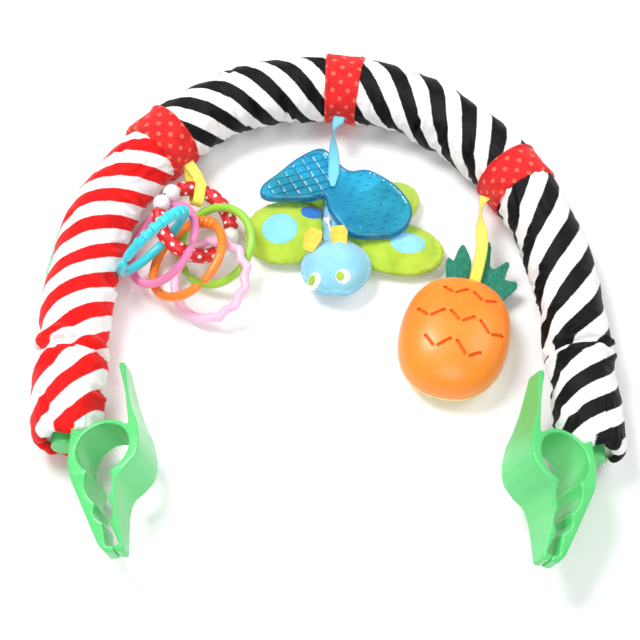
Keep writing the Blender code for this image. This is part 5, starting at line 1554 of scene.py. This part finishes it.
def make_front_shell(home):
    """The glossy front: a deep oval dome with its zigzag sound slots and thin gauze behind them, its darker
    orange painted shade for the slots' depth.
    """
    low = PINE_RIM + SKIRT / 2
    rim = [(PINE_HALF_WIDTH, low - 1.2 * MM), (PINE_HALF_WIDTH, PINE_RIM + 0.7 * MM),
           (PINE_HALF_WIDTH - 0.4 * MM, PINE_RIM), (PINE_HALF_WIDTH - 1.8 * MM, PINE_RIM + 0.1 * MM)]
    profile = dome(0.0, 0.97, 48) + rim + dome(SHELL_WALL, 0.97, 20)[::-1]
    shell = revolved("pineapple_front_shell", profile, home, 160, stretch=PINE_OVAL, square=PINE_SQUARE)
    cutter = linked("slot_tool", slot_tool(home))
    cut = applied(shell, ("BOOLEAN", {"operation": "DIFFERENCE", "object": cutter}))
    bpy.data.objects.remove(cutter)
    add("pineapple_front_shell", faced(cut, 35.0), ORANGE_GLOSS, "pineapple_front", "pineapple_front_shell")
    # painted shade: the sheet under the slots is darker orange for the shade in them
    profile = dome(SHELL_WALL - 0.1 * MM, 0.85, 23) + dome(SHELL_WALL + 0.2 * MM, 0.85, 23)[::-1]
    shaded_gauze = revolved("shaded_slot_gauze", profile, home, 96, stretch=PINE_OVAL, square=PINE_SQUARE)
    add("shaded_slot_gauze", shaded_gauze, SHADED_SLOT_ORANGE, "pineapple_front")


def slot_tool(home):
    """Bars with round ends, one for each slot, that cut through the dome."""
    made = bmesh.new()
    for slot in SLOTS:
        start, end = (Vector((x * PINE_HALF_WIDTH, y * PINE_HALF_WIDTH * PINE_OVAL, 0.0)) for x, y in slot)
        way = (end - start).normalized()
        side = Vector((-way.y, way.x, 0.0))
        ring = []
        for middle, first in ((start + way * SLOT_TRIM, 0.5), (end - way * SLOT_TRIM, -0.5)):
            for angle in (math.pi * (n / 8 + first) for n in range(9)):
                ring.append(middle + (way * math.cos(angle) + side * math.sin(angle)) * SLOT_HALF)
        low, high = ([made.verts.new(home @ (p + Vector((0.0, 0.0, height + SKIRT)))) for p in ring]
                     for height in (PINE_RIM, PINE_TOP))
        made.faces.new(low)
        made.faces.new(high)
        for n, k in zip(range(len(ring)), (*range(1, len(ring)), 0)):
            made.faces.new((low[n], low[k], high[k], high[n]))
    bmesh.ops.recalc_face_normals(made, faces=made.faces)
    return built(made, "slot_tool")


def make_back_shell(home):
    """The pale back: a flat foot, a softly bellied side and the rim under the front."""
    edge = PINE_HALF_WIDTH - 0.5 * MM
    lip = PINE_HALF_WIDTH - 2.5 * MM
    foot = PINE_HALF_WIDTH * 0.70
    belly = (edge + foot) / 2
    side = smooth_through([(edge, FLANGE - 0.9 * MM, 0.0), (edge - 0.8 * MM, FLANGE - 3.6 * MM, 0.0),
                           (belly + 2.2 * MM, FLANGE / 3, 0.0), (foot + 1.5 * MM, REST + 0.9 * MM, 0.0),
                           (foot - 1.0 * MM, REST, 0.0)], 8)
    profile = [(lip, PINE_RIM + 3.0 * MM), (lip, FLANGE + 0.2 * MM), (edge - 0.5 * MM, FLANGE),
               (edge, FLANGE - 0.4 * MM), *[(p.x, p.y) for p in side], (2.9 * MM, REST),
               (2.9 * MM, REST + 2.0 * MM), (foot - 2.0 * MM, REST + 2.0 * MM),
               (belly - 1.0 * MM, FLANGE / 3 + 2.0 * MM), (lip - 2.0 * MM, FLANGE),
               (lip - 2.0 * MM, PINE_RIM + 3.0 * MM)]
    mesh = revolved("pineapple_back_shell", profile, home, 160, loop=True, stretch=PINE_OVAL,
                    square=PINE_SQUARE)
    add("pineapple_back_shell", faced(mesh, 40.0), CREAM, "pineapple", "pineapple_back_shell")


def make_leaf(node):
    """A felt leaf group: the cut outline with softened edges and a slight cup."""
    size = 0.45 * MM
    mesh = applied(node_mesh(node), voxels(size), smoothing(0.5, 2))
    low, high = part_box(node)
    for vert in mesh.vertices:
        share = (vert.co.y - low.y) / (high.y - low.y)
        vert.co.z += (noise.noise(vert.co / 0.012) * 0.9 + 1.6 * share ** 2) * MM
    add(node, faced(mesh, 80.0), LEAF_FELT, "pineapple", node)


def make_pine_ribbon(home):
    """Yellow ribbon from the right band: half turned over, then flat onto the pineapple's back."""
    inner = band_face(RIGHT_SEAM)
    way = arch_at(RIGHT_SEAM)[1]
    root = home @ Vector((RIBBON_WIDTH / 2, PINE_HALF_LENGTH + 0.5 * MM + 4 * GAP, 0.0))
    high = FLANGE - RIBBON_WALL + 4.8 * MM
    sway = Vector((2.1 * MM, 0.0, 0.0))
    route = [inner, inner.lerp(root, 0.28) - sway, inner.lerp(root, 0.62) + sway,
             root + Vector((0.0, 0.0, high))]
    route[1].z = TUBE_HEIGHT + 1.6 * MM
    route[2].z = TUBE_HEIGHT
    middle = smooth_through(route, 16)
    sides = []
    for at in range(len(middle)):
        share = at / (len(middle) - 1)
        flat = way.lerp(Vector((1.0, 0.0, 0.0)), min(1.0, share * 2))
        turn = math.radians(75.0) * math.sin(math.pi * min(1.0, share * 1.8))
        sides.append(flat.normalized() * math.cos(turn) + Vector((0.0, 0.0, math.sin(turn))))
    mesh = ribbon_mesh("pineapple_ribbon", middle, sides, RIBBON_WIDTH, RIBBON_WALL)
    add("pineapple_ribbon", mesh, YELLOW_RIBBON, "pineapple", "pineapple_ribbon")


def make_pineapple():
    home = pine_frame()
    make_front_shell(home)
    make_back_shell(home)
    make_leaf("left_felt_leaf")
    make_leaf("right_felt_leaf")
    make_pine_ribbon(home)


# Inner pieces
def finish_inner_pieces():
    """The pieces that keep their CAD shape get a finish."""
    steel = metal("bright_steel", (0.72, 0.73, 0.75), 0.22)
    looks = {"melody_module_case": WHITE_GLOSS, "button_cell_1": steel, "button_cell_2": steel,
             "button_cell_3": steel, "module_screw": steel,
             "sound_circuit_board": moulded("green_board", (0.03, 0.20, 0.07), (0.02, 0.15, 0.05), 0.4, 0.3),
             "speaker": moulded("black_plastic", (0.02, 0.02, 0.02), (0.04, 0.04, 0.04), 0.5, 0.0),
             "switch_dome": moulded("grey_rubber", (0.28, 0.28, 0.30), (0.22, 0.22, 0.24), 0.75, 0.0)}
    for node, mat in looks.items():
        dress(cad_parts[node].data, mat)


# Stage, light and camera. Lights: place, size and power
LIGHTS = {"key": ((-0.8, 0.5, 1.9), 0.9, 32.0), "fill": ((1.3, 0.3, 1.7), 1.4, 14.0),
          "front": ((0.0, -1.3, 1.5), 1.2, 12.0)}
WORLD_LIGHT = 0.40
FLOOR_SIZE = 6.0


def make_stage():
    """A wide pale floor."""
    made = bmesh.new()
    bmesh.ops.create_grid(made, x_segments=1, y_segments=1, size=FLOOR_SIZE)
    mesh = built(made, "floor")
    dress(mesh, Look("pale_floor", (0.96, 0.96, 0.965), 0.6, Specular_IOR_Level=0.15).mat)
    linked("floor", mesh)


def area_light(name, place, size, power):
    """A round soft light that points at the arch."""
    data = bpy.data.lights.new(name, "AREA")
    data.shape = "DISK"
    data.size = size
    data.energy = power
    lamp = linked(name, data)
    lamp.location = place
    lamp.rotation_euler = (TARGET - Vector(place)).to_track_quat("-Z", "Y").to_euler()


def make_light():
    """An even white world and three soft lights."""
    world = bpy.data.worlds.new("studio")
    world.use_nodes = True
    background = world.node_tree.nodes["Background"]
    background.inputs["Color"].default_value = (1.0, 1.0, 1.0, 1.0)
    background.inputs["Strength"].default_value = WORLD_LIGHT
    bpy.context.scene.world = world
    for name, (place, size, power) in LIGHTS.items():
        area_light(name, place, size, power)
    bpy.context.scene.view_settings.view_transform = "Standard"


def make_camera():
    """The photograph's view, from the front and high up."""
    data = bpy.data.cameras.new("photo_view")
    data.lens = LENS
    data.sensor_width = SENSOR
    camera = linked("photo_view", data)
    way = Vector((0.0, math.cos(ELEVATION), -math.sin(ELEVATION)))
    camera.location = TARGET - way * DISTANCE
    camera.rotation_euler = way.to_track_quat("-Z", "Y").to_euler()
    bpy.context.scene.camera = camera


def main():
    make_camera()
    make_stage()
    make_light()
    make_core()
    make_covers()
    make_bands()
    make_tab()
    make_clip("left")
    make_clip("right")
    make_rings()
    make_teether()
    make_teether_ribbon()
    make_stuffed_toy()
    make_pineapple()
    finish_inner_pieces()


main()
